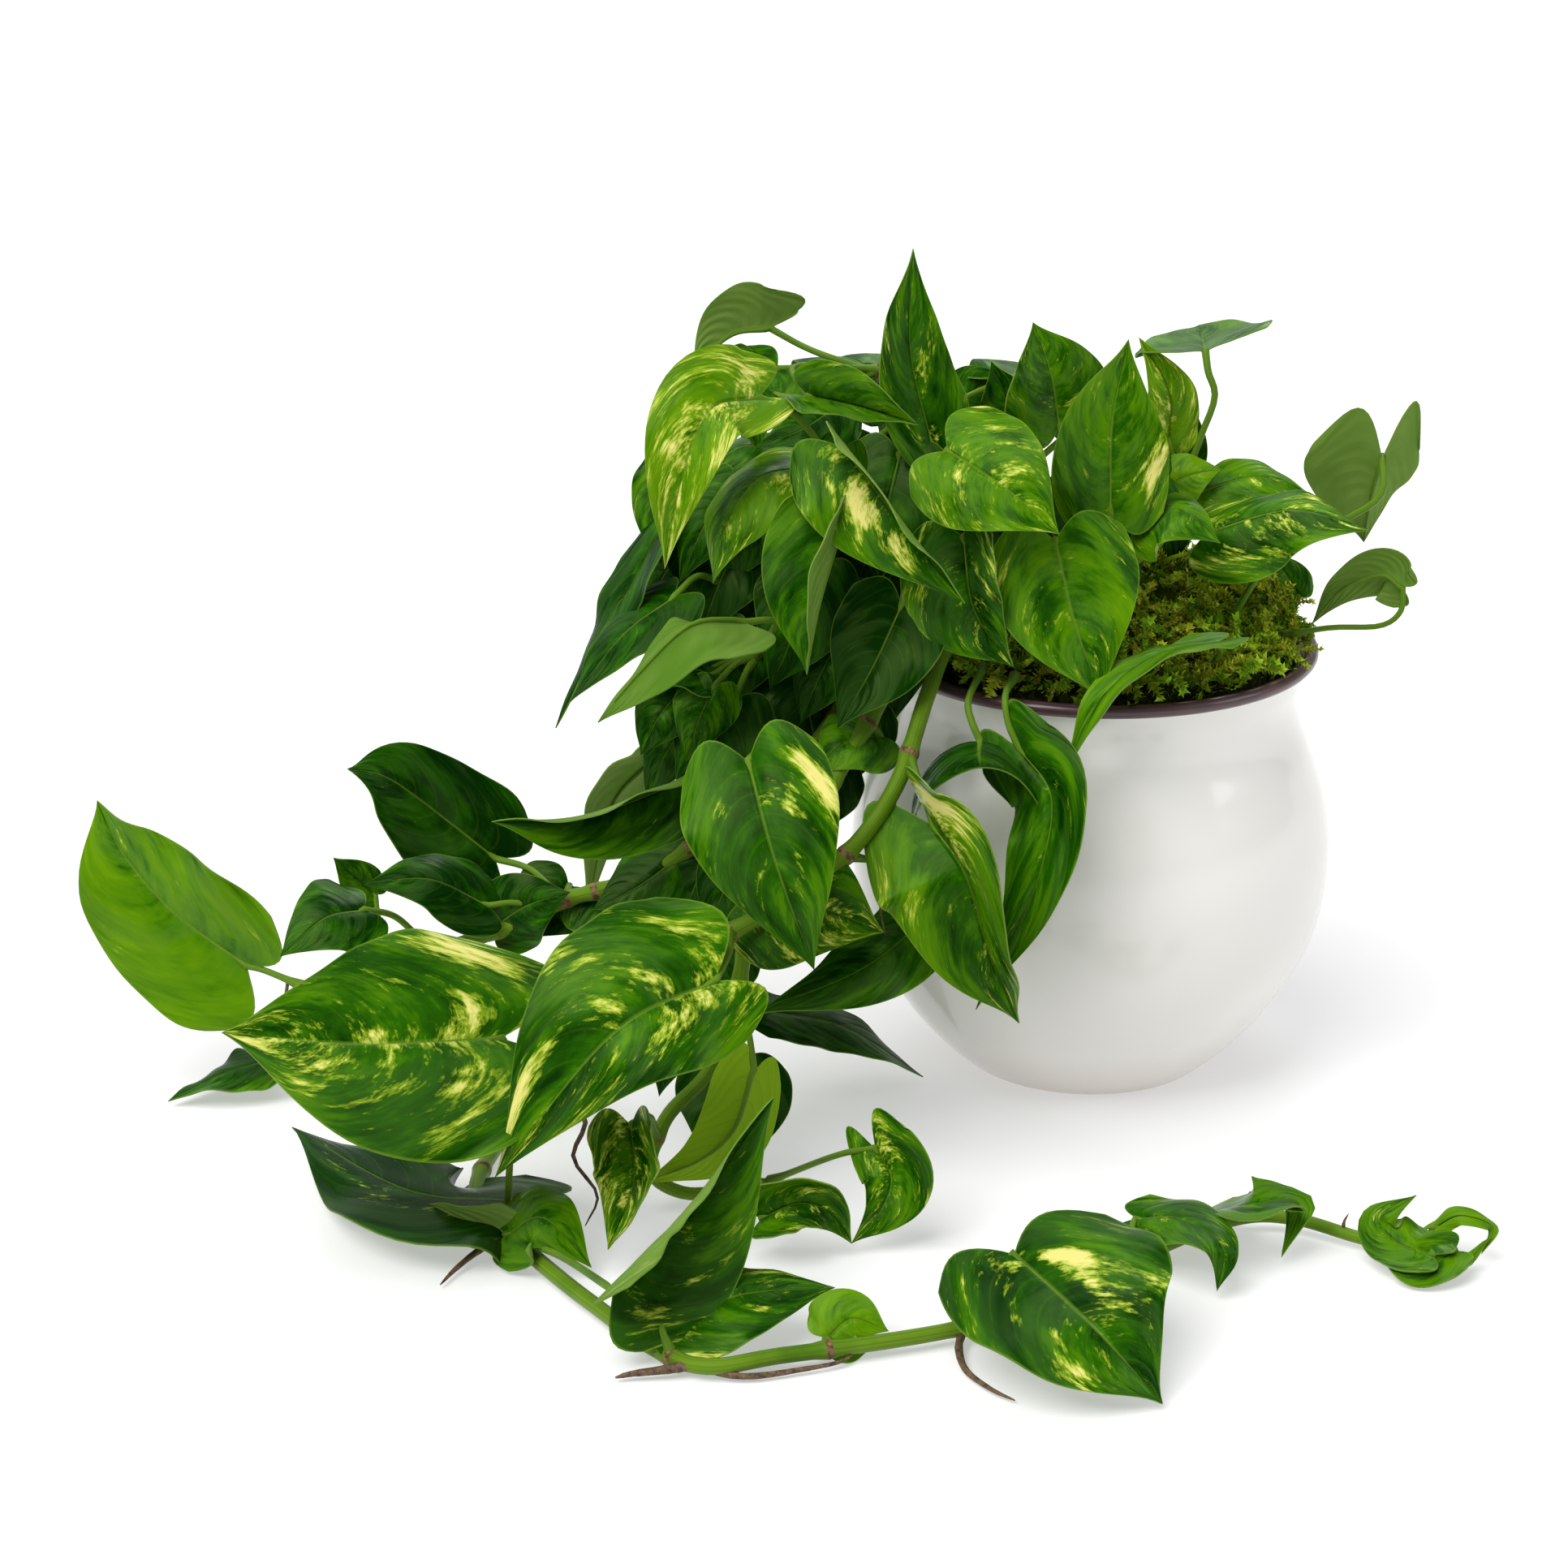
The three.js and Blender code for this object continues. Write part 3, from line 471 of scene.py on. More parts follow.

# Leaves in groups, each numbered from 01. A rib runs from the notch to the tip, face is the way the
# upper side looks, and a pair such as fold=[20, 5] is for the left half and the right half. A patch is
# a place along and across, two sizes, and how much cream it adds if that is not leaf["patchCream"].
# tone darkens or lightens a whole leaf: partly its own colour, partly painted shade on leaves that sit in
# shadow deep in the plant or under others
leafGroups = {
    "crown_leaf": [
        dict(width=36, face=[0.3, -0.9, 0.3], fold=22, cream=0.55, stalk=[[-60, -14, 236], [-68, -28, 256]],
             rib=[[-70, -38, 275], [-79, -34, 312], [-78, -24, 350]]),
        dict(width=42, halves=[1, 0.7], lobe=0.4, face=[0, 1, 0.15], fold=[0, 115], curl=[-4, -20],
             cream=0.3, tone=0.3, stalk=[[-90, -4, 296], [-117, 4, 303]],
             rib=[[-135, 10, 311], [-150, 6, 309], [-166, -4, 296]]),
        dict(width=46, halves=[0.75, 1], face=[-0.2, -0.7, 0.7], fold=[0, 35], cream=0.95, tone=0.55,
             stalk=[[-99, -40, 247], [-110, -60, 273], [-123, -68, 293]],
             rib=[[-138, -70, 302], [-157, -84, 300], [-168, -94, 273], [-174, -96, 241]]),
        dict(width=34, face=[0, -1, 0.1], fold=[30, 88], cream=0.5, tone=0.2,
             stalk=[[-98, -6, 298], [-124, -28, 304]],
             rib=[[-119, -60, 300], [-99, -70, 298], [-77, -74, 292]]),
        dict(width=54, face=[0, -0.9, 0.5], fold=8, cream=0.8, tone=0.2,
             stalk=[[-58, -14, 232], [-70, -66, 265]],
             rib=[[-66, -78, 283], [-45, -90, 272], [-24, -100, 256]]),
        dict(width=58, halves=[0.7, 1], face=[0, -0.9, 0.3], fold=[85, 5], curl=[30, 0], cream=0.62,
             tone=-0.05, patch=[[0.3, -0.35, 0.22, 0.25]], stalk=[[-92, -40, 243], [-107, -74, 277]],
             rib=[[-106, -84, 286], [-86, -100, 263], [-60, -108, 231]]),
        dict(width=56, halves=[0.8, 1], face=[-0.1, -0.9, 0.5], fold=[65, 5], cream=0.7, tone=-0.1,
             stalk=[[-63, -26, 205], [-63, -54, 232]],
             rib=[[-59, -72, 247], [-55, -86, 222], [-40, -94, 201]]),
        dict(width=61, face=[0, -0.9, 0.4], fold=14, cream=0.6, tone=0.2,
             stalk=[[-13, -34, 206], [-20, -66, 236]],
             rib=[[-24, -80, 248], [-17, -93, 220], [-6, -102, 190]]),
        dict(width=48, face=[0, -0.9, 0.3], fold=[18, 10], cream=0.58, tone=0.25,
             patch=[[0.05, -0.75, 0.15, 0.22]], stalk=[[6, -44, 226], [4, -52, 238]],
             rib=[[-1, -58, 253], [-1, -54, 288], [5, -46, 319]]),
        dict(width=52, face=[0.2, -0.9, 0.3], fold=[30, 5], cream=0.65, tone=0.2,
             stalk=[[-12, -30, 204], [-16, -20, 244]],
             rib=[[-19, -24, 279], [-23, -22, 300], [-30, -16, 319]]),
        dict(width=58, face=[0, 0.6, 0.8], fold=[8, 28], tone=0.2,
             stalk=[[30, -28, 250], [36, -22, 270], [42, -24, 290], [39, -24, 301]],
             rib=[[38, -20, 309], [40, 5, 307], [42, 38, 306]]),
        dict(width=46, halves=[0.65, 1.1], face=[0, -0.6, 0.8], fold=[-10, -15], cream=0.75, tone=0.05,
             stalk=[[18, -40, 234], [26, -42, 242]], rib=[[39, -46, 242], [70, -54, 253], [99, -66, 248]]),
        dict(width=58, halves=[1.05, 0.75], lobe=0.5, face=[0, 1, 0.3], fold=[15, 35], curl=[-15, -10],
             cream=0.3, tone=0.1, stalk=[[50, -28, 196], [66, -30, 224], [92, -32, 241], [108, -34, 253]],
             rib=[[110, -22, 266], [108, -14, 248], [108, -2, 225]]),
        dict(width=24, lobe=0.1, face=[0.1, 1, 0.2], fold=10,
             stalk=[[74, -24, 192], [92, -30, 197], [111, -34, 199], [119, -34, 205]],
             rib=[[120, -30, 214], [112, -24, 218], [98, -16, 209], [87, -12, 193]]),
        dict(width=26, face=[-0.6, -0.3, 0.7], fold=15, tone=0.4, stalk=[[40, -56, 188], [43, -70, 200]],
             rib=[[39, -78, 206], [15, -96, 207], [-7, -108, 193], [-22, -112, 162]]),
    ],
    "shoulder_leaf": [
        dict(width=46, face=[-0.3, -0.5, 0.8], fold=[-15, -10], cream=0.68, tone=0.35,
             stalk=[[-96, -40, 244], [-104, -52, 262]],
             rib=[[-111, -62, 272], [-137, -74, 272], [-151, -84, 254], [-156, -88, 233]]),
        dict(width=40, face=[-0.2, -0.3, 0.9], fold=-10, tone=0.1,
             stalk=[[-108, -36, 250], [-112, -26, 258]],
             rib=[[-117, -20, 263], [-143, -26, 272], [-166, -34, 257]]),
        dict(width=36, face=[-0.2, -0.9, 0.3], tone=-0.1, stalk=[[-136, -35, 248], [-142, -38, 258]],
             rib=[[-148, -42, 258], [-159, -50, 247], [-170, -54, 223]]),
        dict(width=30, face=[-0.8, -0.4, 0.5], fold=15, tone=-0.4,
             stalk=[[-144, -36, 242], [-160, -38, 254]],
             rib=[[-175, -40, 247], [-189, -52, 222], [-203, -62, 198], [-219, -70, 168]]),
        dict(width=38, face=[-0.4, -0.5, 0.8], cream=0.1, tone=-0.3,
             stalk=[[-150, -42, 218], [-162, -54, 226]],
             rib=[[-172, -62, 220], [-191, -76, 209], [-212, -88, 185]]),
        dict(width=46, face=[0.2, 0.3, -0.9], fold=[35, 20], cream=0.1, tone=-0.9,
             stalk=[[-140, -60, 194], [-132, -84, 216]],
             rib=[[-145, -98, 220], [-164, -110, 222], [-183, -118, 206], [-199, -122, 188]]),
        dict(width=54, halves=[0.55, 1], face=[-0.1, -0.9, 0.4], fold=[100, 8], curl=[20, 0], cream=0.4,
             stalk=[[-88, -38, 240], [-98, -78, 262]],
             rib=[[-106, -92, 260], [-115, -108, 232], [-120, -112, 204]]),
        dict(width=46, face=[-0.3, -0.9, 0.3], fold=[10, 20], cream=0.3, tone=-0.8,
             stalk=[[-74, -34, 218], [-79, -62, 232]],
             rib=[[-83, -80, 222], [-94, -92, 201], [-108, -100, 178]]),
    ],
    "front_leaf": [
        dict(width=100, face=[0, 0.1, 1], fold=-15, curl=-84, tone=-0.3,
             stalk=[[-50, -66, 192], [-57, -92, 187], [-56, -100, 181]],
             rib=[[-53, -104, 175], [-54, -116, 174], [-54, -130, 173]]),
        dict(width=38, face=[-0.7, -0.6, 0.3], fold=[5, 25], cream=0.42,
             stalk=[[-38, -72, 190], [-43, -96, 190], [-42, -102, 181]],
             rib=[[-38, -106, 172], [-26, -120, 155], [-34, -130, 118], [-54, -128, 72]]),
        dict(width=64, halves=[0.9, 1.12], lobe=0.24, face=[-0.1, -0.9, 0.5], fold=[75, 0], curl=[-20, 0],
             cream=0.7, tone=0.2, patch=[[0, 0.6, 0.12, 0.3]], stalk=[[-80, -102, 168], [-77, -112, 162]],
             rib=[[-71, -122, 146], [-59, -138, 132], [-49, -138, 98], [-37, -130, 67]]),
        dict(width=62, face=[-0.1, -0.9, 0.4], fold=10, cream=0.52, tone=-0.05,
             patch=[[0, 0.75, 0.14, 0.26]], stalk=[[-111, -100, 156], [-122, -116, 176], [-134, -130, 182]],
             rib=[[-142, -140, 179], [-132, -160, 147], [-117, -162, 103]]),
        dict(width=58, face=[0.1, -0.9, 0.4], fold=[0, 10], cream=0.8,
             stalk=[[-142, -116, 100], [-146, -114, 112]],
             rib=[[-140, -118, 117], [-116, -134, 118], [-90, -134, 107]]),
        dict(width=38, face=[0, -0.6, 0.8], cream=0.3, stalk=[[-104, -118, 130], [-84, -112, 124]],
             rib=[[-74, -112, 103], [-99, -124, 87], [-140, -130, 71]]),
        dict(width=34, face=[-0.1, -0.3, 1], tone=-0.2, stalk=[[-148, -124, 70], [-144, -90, 54]],
             rib=[[-135, -60, 42], [-104, -55, 33], [-70, -40, 3]]),
    ],
    "side_leaf": [
        dict(width=44, face=[0, -0.8, 0.6], fold=[-5, 100], curl=[0, 20], cream=0.45,
             stalk=[[-140, -82, 142], [-154, -84, 158]],
             rib=[[-170, -92, 153], [-206, -112, 146], [-240, -128, 150]]),
        dict(width=54, face=[0.1, -0.8, 0.6], fold=[10, 5], cream=0.3, tone=-0.35,
             stalk=[[-217, -84, 100], [-230, -66, 106]],
             rib=[[-245, -60, 109], [-264, -68, 129], [-285, -78, 150], [-300, -84, 156]]),
        dict(width=34, face=[0, -0.6, 0.8], cream=0.1, tone=-0.4, stalk=[[-224, -84, 98], [-236, -86, 100]],
             rib=[[-246, -88, 100], [-268, -98, 115], [-293, -104, 115]]),
        dict(width=40, face=[-0.1, -0.7, 0.7], cream=0.45, tone=-0.2,
             stalk=[[-270, -86, 79], [-282, -92, 96]],
             rib=[[-294, -100, 103], [-308, -112, 104], [-325, -120, 91]]),
        dict(width=80, halves=[1, 0.8], face=[-0.1, -0.9, 0.4], fold=[-4, 40], cream=0.5, tone=0.5,
             stalk=[[-322, -72, 58], [-339, -66, 62]],
             rib=[[-348, -62, 63], [-379, -50, 82], [-400, -38, 103], [-411, -28, 122]]),
    ],
    "floor_leaf": [
        dict(width=100, lobe=0.26, face=[0, -0.6, 0.8], fold=[4, 10], cream=0.78,
             patch=[[-0.06, -0.8, 0.06, 0.2], [0.25, -0.05, 0.35, 0.12, 0.3], [0.8, 0.3, 0.2, 0.5, 0.3]],
             stalk=[[-234, -186, 10], [-232, -182, 36], [-228, -178, 64]],
             rib=[[-234, -183, 85], [-286, -200, 90], [-334, -208, 98]]),
        dict(width=74, halves=[0.8, 1.28], face=[-0.1, -0.8, 0.6], fold=[5, 8], cream=0.72,
             patch=[[0.15, 0.3, 0.12, 0.3, 0.4], [0.55, -0.7, 0.12, 0.25, 0.5]],
             stalk=[[-148, -134, 104], [-149, -168, 113]],
             rib=[[-154, -190, 111], [-191, -212, 99], [-235, -218, 44]]),
        dict(width=76, halves=[1, 1], face=[0, 0, 1], wave=0.06, cream=0.5, tone=-0.5,
             stalk=[[-240, -178, 7], [-234, -176, 11]],
             rib=[[-230, -172, 12], [-273, -171, 16], [-327, -99, 8]]),
        dict(width=34, face=[0, 0, 1], wave=0.06, cream=0.3, tone=-0.1,
             stalk=[[-312, -74, 40], [-326, -46, 22]],
             rib=[[-337, -42, 14], [-359, -54, 12], [-383, -64, 3]]),
        dict(width=68, face=[0.1, -0.9, 0.5], fold=[75, 5], curl=[40, 0], cream=0.62, tone=-0.1,
             stalk=[[-230, -192, 8], [-211, -226, 16]],
             rib=[[-189, -270, 26], [-164, -252, 45], [-132, -236, 85]]),
        dict(width=46, face=[0, -0.3, 1], cream=0.7, tone=-0.05, stalk=[[-168, -282, 8], [-172, -276, 14]],
             rib=[[-168, -270, 14], [-142, -266, 22], [-110, -254, 18]]),
        dict(width=30, halves=[1.2, 0.8], lobe=0.3, face=[0.1, -0.9, 0.5], fold=10, curl=[25, -30],
             twist=40, cream=0.72, stalk=[[-134, -150, 9], [-109, -175, 32]],
             rib=[[-94, -179, 37], [-88, -186, 28], [-92, -191, 17], [-103, -195, 5]]),
        dict(width=32, face=[0.3, 0.8, -0.5], fold=[0, 60], cream=0.3, tone=0.85,
             stalk=[[-146, -122, 80], [-142, -138, 66]],
             rib=[[-140, -150, 56], [-147, -166, 39], [-161, -176, 30], [-183, -180, 23]]),
    ],
    "runner_leaf": [
        dict(width=84, halves=[1.12, 0.9], face=[0, -0.4, 0.9], fold=4, curl=-14, cream=0.62, tone=-0.1,
             patch=[[0.25, 0.3, 0.07, 0.12], [0.45, -0.7, 0.07, 0.15], [0.1, 0.3, 0.06, 0.2]],
             stalk=[[-64, -263, 6], [-59, -261, 18]], rib=[[-46, -256, 33], [-21, -297, 26], [3, -311, 3]]),
        dict(width=30, face=[0, -0.3, 1], twist=45, cream=0.6, stalk=[[0, -212, 8], [2, -202, 14]],
             rib=[[4, -195, 16], [19, -207, 22], [33, -226, 20], [31, -231, 4]]),
    ],
    "rear_leaf": [
        dict(width=52, face=[0.2, 0.8, 0.5], fold=8, cream=0.5, tone=0.1,
             stalk=[[-54, -8, 222], [-28, 16, 250]], rib=[[-10, 35, 262], [-2, 65, 260], [8, 92, 217]]),
        dict(width=56, face=[0, 0.9, 0.4], fold=8, cream=0.6, stalk=[[-62, 42, 198], [-58, 56, 212]],
             rib=[[-60, 70, 217], [-65, 102, 207], [-72, 122, 157]]),
        dict(width=54, face=[-0.3, 0.9, 0.3], fold=8, cream=0.45, tone=0.1,
             stalk=[[-84, 74, 190], [-98, 66, 206]],
             rib=[[-112, 70, 212], [-127, 96, 198], [-140, 112, 150]]),
        dict(width=52, face=[-0.4, 0.8, 0.4], fold=8, cream=0.5, stalk=[[-132, 92, 128], [-138, 96, 142]],
             rib=[[-146, 98, 142], [-164, 108, 120], [-176, 104, 74]]),
        dict(width=50, face=[-0.8, 0.5, 0.3], fold=8, cream=0.4, tone=0.1,
             stalk=[[-166, 64, 70], [-178, 50, 104]],
             rib=[[-186, 42, 116], [-204, 34, 96], [-214, 28, 50]]),
    ],
}

# Smaller leaves that fill out the plant
smallGroups = {
    "crown_small": [
        dict(width=40, face=[-0.2, -0.6, 0.7], fold=[0, 20], cream=0.4, tone=0.1,
             stalk=[[-108, -5, 291], [-122, -8, 298]],
             rib=[[-131, -10, 299], [-142, -20, 293], [-138, -28, 268]]),
        dict(width=26, face=[0, -0.8, 0.6], tone=-0.1, rib=[[-86, 5, 280], [-96, 5, 289], [-106, 0, 295]]),
        dict(width=30, face=[0, -0.8, 0.6], tone=-0.1,
             rib=[[-58, 15, 271], [-51, 15, 284], [-41, 10, 293]]),
        dict(width=26, face=[-0.4, -0.9, 0.3], fold=30,
             rib=[[-36, -12, 274], [-40, -12, 289], [-46, -10, 302]]),
        dict(width=24, face=[0.2, -0.9, 0.3], fold=20, cream=0.85, tone=0.7,
             rib=[[25, -22, 272], [24, -22, 293], [12, -16, 313]]),
        dict(width=22, face=[-0.3, -0.9, 0.3], fold=20, tone=0.1,
             rib=[[29, -15, 258], [33, -13, 271], [35, -10, 285]]),
        dict(width=40, halves=[0.6, 1.2], face=[0, -0.5, 0.8], fold=-10, cream=0.5, tone=0.2,
             stalk=[[9, -50, 221]], rib=[[15, -50, 252], [27, -60, 255], [41, -70, 244]]),
        dict(width=18, face=[0.2, -0.9, 0.3], fold=10, stalk=[[70, 14, 190]],
             rib=[[85, 10, 198], [79, 10, 208], [72, 10, 215]]),
        dict(width=44, face=[0.2, -0.8, 0.6], fold=5, tone=-0.3,
             rib=[[-48, -20, 266], [-40, -36, 257], [-25, -42, 246]]),
        dict(width=42, face=[0, -0.9, 0.4], fold=5, tone=-0.3,
             rib=[[-59, -30, 256], [-57, -44, 240], [-53, -50, 218]]),
        dict(width=34, face=[0.2, -0.6, 0.8], fold=5, tone=-0.1,
             rib=[[11, -30, 269], [17, -40, 258], [33, -44, 246]]),
        dict(width=48, face=[-0.2, -0.9, 0.4], fold=5, tone=-0.3,
             rib=[[-83, -40, 272], [-89, -56, 250], [-92, -62, 225]]),
        dict(width=36, face=[0, -0.5, 0.8], cream=0.1, tone=-0.2,
             rib=[[-108, -20, 286], [-122, -30, 279], [-140, -34, 273]]),
        dict(width=30, halves=[0.8, 1], face=[0, -0.6, 0.8], fold=-5, cream=0.65, tone=0.2,
             rib=[[37, -30, 254], [60, -30, 260], [84, -34, 251]]),
        dict(width=24, face=[0, -0.8, 0.6], cream=0.5, tone=0.7,
             rib=[[23, -34, 257], [33, -34, 262], [45, -34, 264]]),
    ],
    "shoulder_small": [
        dict(width=26, face=[-0.4, -0.8, 0.5], fold=20, cream=0.5, tone=0.1,
             rib=[[-173, -30, 266], [-179, -36, 247], [-177, -38, 224]]),
        dict(width=26, face=[-0.2, -0.9, 0.3], fold=10, cream=0.1, tone=-0.2,
             rib=[[-106, -62, 279], [-113, -66, 259], [-117, -66, 239]]),
        dict(width=30, face=[-0.2, -0.4, 0.9], cream=0.1, tone=-0.2,
             rib=[[-156, -70, 191], [-170, -76, 195], [-186, -82, 188]]),
        dict(width=32, face=[-0.2, -0.9, 0.3], tone=-0.2,
             rib=[[-142, -58, 204], [-151, -64, 189], [-160, -66, 172]]),
        dict(width=30, face=[-0.3, -0.9, 0.4], tone=-0.2,
             rib=[[-169, -72, 185], [-178, -78, 175], [-185, -80, 160]]),
        dict(width=28, face=[-0.2, -0.9, 0.4], rib=[[-156, -82, 189], [-162, -88, 177], [-167, -88, 160]]),
        dict(width=34, face=[-0.1, -0.7, 0.8], cream=0.3, tone=0.2,
             rib=[[-91, -84, 170], [-105, -94, 170], [-118, -98, 158]]),
        dict(width=44, face=[-0.2, -0.9, 0.3], fold=5, cream=0.1, tone=-0.4,
             rib=[[-116, -62, 231], [-124, -72, 210], [-134, -76, 186]]),
        dict(width=46, face=[-0.3, -0.8, 0.5], fold=5, cream=0.1, tone=-0.3,
             rib=[[-130, -30, 259], [-148, -42, 239], [-156, -48, 214]]),
        dict(width=40, face=[-0.5, -0.7, 0.5], fold=5, cream=0.1, tone=-0.4,
             rib=[[-166, -20, 239], [-179, -30, 215], [-193, -34, 193]]),
        dict(width=30, face=[-0.4, -0.8, 0.4], fold=5, cream=0.1, tone=-0.3,
             rib=[[-163, -50, 170], [-176, -58, 153], [-184, -58, 132]]),
        dict(width=34, face=[-0.3, -0.9, 0.4], fold=5, cream=0.1, tone=-0.4,
             rib=[[-102, -66, 213], [-114, -74, 192], [-122, -76, 172]]),
        dict(width=44, face=[-0.3, -0.8, 0.5], fold=5, cream=0.1, tone=-0.3,
             rib=[[-148, -78, 183], [-159, -86, 162], [-172, -88, 145]]),
    ],
    "side_small": [
        dict(width=18, face=[0, -0.8, 0.6], fold=10, cream=0.3, tone=0.1,
             rib=[[-293, -70, 97], [-301, -74, 107], [-308, -78, 116]]),
        dict(width=34, face=[0, -0.9, 0.5], cream=0.1, tone=-0.3,
             rib=[[-243, -84, 90], [-230, -88, 100], [-213, -92, 107]]),
        dict(width=42, face=[-0.1, -0.7, 0.8], cream=0.1, tone=-0.3,
             rib=[[-166, -84, 123], [-185, -94, 111], [-204, -98, 102]]),
        dict(width=44, face=[-0.2, -0.8, 0.5], cream=0.1, tone=-0.4,
             rib=[[-130, -96, 139], [-149, -104, 118], [-159, -106, 95]]),
        dict(width=40, face=[-0.1, -0.8, 0.6], fold=5, cream=0.3, tone=-0.3,
             rib=[[-215, -70, 101], [-224, -78, 94], [-234, -86, 84]]),
        dict(width=36, face=[0.1, -0.8, 0.6], fold=5, tone=-0.2,
             rib=[[-203, -80, 102], [-198, -88, 93], [-195, -94, 81]]),
    ],
    "floor_small": [
        dict(width=26, face=[0, 1, 0.3], fold=20, tone=0.5,
             rib=[[-233, -196, 10], [-253, -191, 10], [-274, -163, 8]]),
        dict(width=36, face=[0, -0.5, 0.8], cream=0.3, tone=0.3,
             rib=[[-233, -200, 12], [-218, -207, 22], [-200, -216, 6]]),
        dict(width=40, face=[-0.5, -0.7, 0.6], fold=[20, 35], curl=[30, 60], cream=0.9, tone=0.1,
             rib=[[-186, -190, 52], [-185, -200, 32], [-194, -217, 14]]),
        dict(width=28, face=[0, -0.8, 0.6], tone=0.6,
             rib=[[-113, -273, 8], [-104, -270, 14], [-91, -272, 10]]),
        dict(width=50, face=[-0.1, -0.9, 0.3], cream=0.1, tone=-0.5,
             rib=[[-148, -120, 45], [-151, -130, 26], [-159, -138, 7]]),
        dict(width=30, face=[0, -0.85, 0.5], fold=20, curl=[60, 55], cream=0.7,
             rib=[[-137, -195, 16], [-123, -195, 22], [-111, -195, 18], [-103, -197, 6]]),
    ],
    "runner_small": [
        dict(width=24, face=[0, -0.3, 1], curl=[40, 30], cream=0.5, tone=0.2,
             rib=[[35, -178, 10], [46, -203, 26], [65, -195, 22], [58, -206, 5]]),
        dict(width=26, face=[0, -0.7, 0.8], curl=[20, -30], twist=30, cream=0.5, tone=0.3,
             rib=[[113, -213, 10], [102, -204, 10], [96, -197, 16], [109, -196, 26]]),
        dict(width=22, face=[0, -0.5, 0.8], curl=[30, 20], cream=0.3, tone=0.3,
             rib=[[122, -210, 10], [107, -216, 6], [95, -205, 5]]),
        dict(width=9, face=[0, -0.5, 0.9], cream=0.4, tone=0.6,
             rib=[[117, -195, 12], [126, -197, 18], [138, -199, 14], [133, -205, 6]]),
        dict(width=7, face=[0, -0.5, 0.9], cream=0.4, tone=0.5,
             rib=[[117, -206, 8], [126, -210, 6], [137, -202, 12]]),
    ],
    "rear_small": [
        dict(width=56, face=[-0.2, 0.8, 0.6], fold=8, cream=0.5, tone=0.1,
             rib=[[-60, 40, 280], [-70, 75, 270], [-85, 100, 225]]),
        dict(width=54, face=[-0.4, 0.7, 0.5], fold=8, cream=0.4,
             rib=[[-115, 30, 262], [-135, 60, 250], [-150, 80, 202]]),
        dict(width=50, face=[0.1, 0.9, 0.4], fold=8, cream=0.6, tone=0.1,
             rib=[[-15, 70, 207], [-8, 102, 197], [-2, 120, 152]]),
        dict(width=50, face=[-0.7, 0.6, 0.3], fold=8, cream=0.3, tone=-0.1,
             rib=[[-145, 20, 217], [-170, 35, 197], [-186, 45, 147]]),
        dict(width=48, face=[-0.3, 0.5, 0.8], fold=8, cream=0.5, tone=0.1,
             rib=[[-90, 15, 292], [-108, 45, 290], [-125, 70, 254]]),
        dict(width=46, face=[0.1, 0.5, 0.8], fold=8, cream=0.4,
             rib=[[-35, 15, 290], [-28, 45, 287], [-20, 72, 250]]),
    ],
}


def numbered(groups):
    return [{**plainLeaf, **row, "name": "%s_%02d" % (group, count + 1)}
            for group, rows in groups.items() for count, row in enumerate(rows)]


leaves = numbered(leafGroups)
smallLeaves = numbered(smallGroups)

# Leaves deep inside the plant, their low tone painted shade: notch and width. The loop leans each one and
# hangs its tip.
innerLeaves = [
    [[-96, -18, 246], 52], [[-118, -10, 228], 50], [[-74, -22, 240], 50], [[-132, -22, 208], 52],
    [[-106, -34, 214], 50], [[-86, -48, 206], 46], [[-64, -34, 224], 48], [[-44, -24, 238], 46],
    [[-148, -30, 190], 48], [[-122, -58, 188], 46], [[-26, -22, 250], 46], [[-2, -18, 244], 44],
    [[-100, -66, 176], 42], [[-142, -66, 160], 44], [[-126, -80, 144], 44], [[-154, -84, 128], 42],
    [[-134, -92, 112], 42], [[-156, -104, 92], 44], [[-168, -100, 70], 42], [[-112, -84, 158], 40],
    [[26, 16, 248], 44], [[-153, -34, 237], 50], [[-143, -34, 239], 46],
    [[-60, 4, 262], 44], [[-90, 0, 268], 44],
]
dice = random.Random(5)
for count, (notch, width) in enumerate(innerLeaves):
    lean, out = dice.uniform(-0.6, 0.35), dice.uniform(-0.75, -0.35)
    middle = [notch[0] + lean * 16, notch[1] + out * 18, notch[2] - 14]
    tip = [notch[0] + lean * 34, notch[1] + out * 24, notch[2] - 42]
    smallLeaves.append({**plainLeaf, "name": "inner_leaf_%02d" % (count + 1), "width": width,
                        "cream": 0.25, "tone": dice.uniform(-0.9, -0.45),
                        "face": [lean * 0.5, -0.8, 0.5], "rib": [notch, middle, tip]})


# How wide the blade is at u along the rib, as a share of the row's width
def leafShare(u):
    return (1 - u) ** 0.95 * (0.86 + 1.9 * u - 0.9 * u * u) * (1 - 0.6 * u**5.5)


# The value on each half of a blade, from one number or a pair
def bySide(value, v):
    left, right = value if isinstance(value, list) else (value, value)
    return np.where(v > 0, left, right)


# The direction nearest to face that stands square to ahead
def squareTo(face, ahead):
    face = np.array(face, float)
    return unit(face - ahead * (ahead @ face)[..., None])


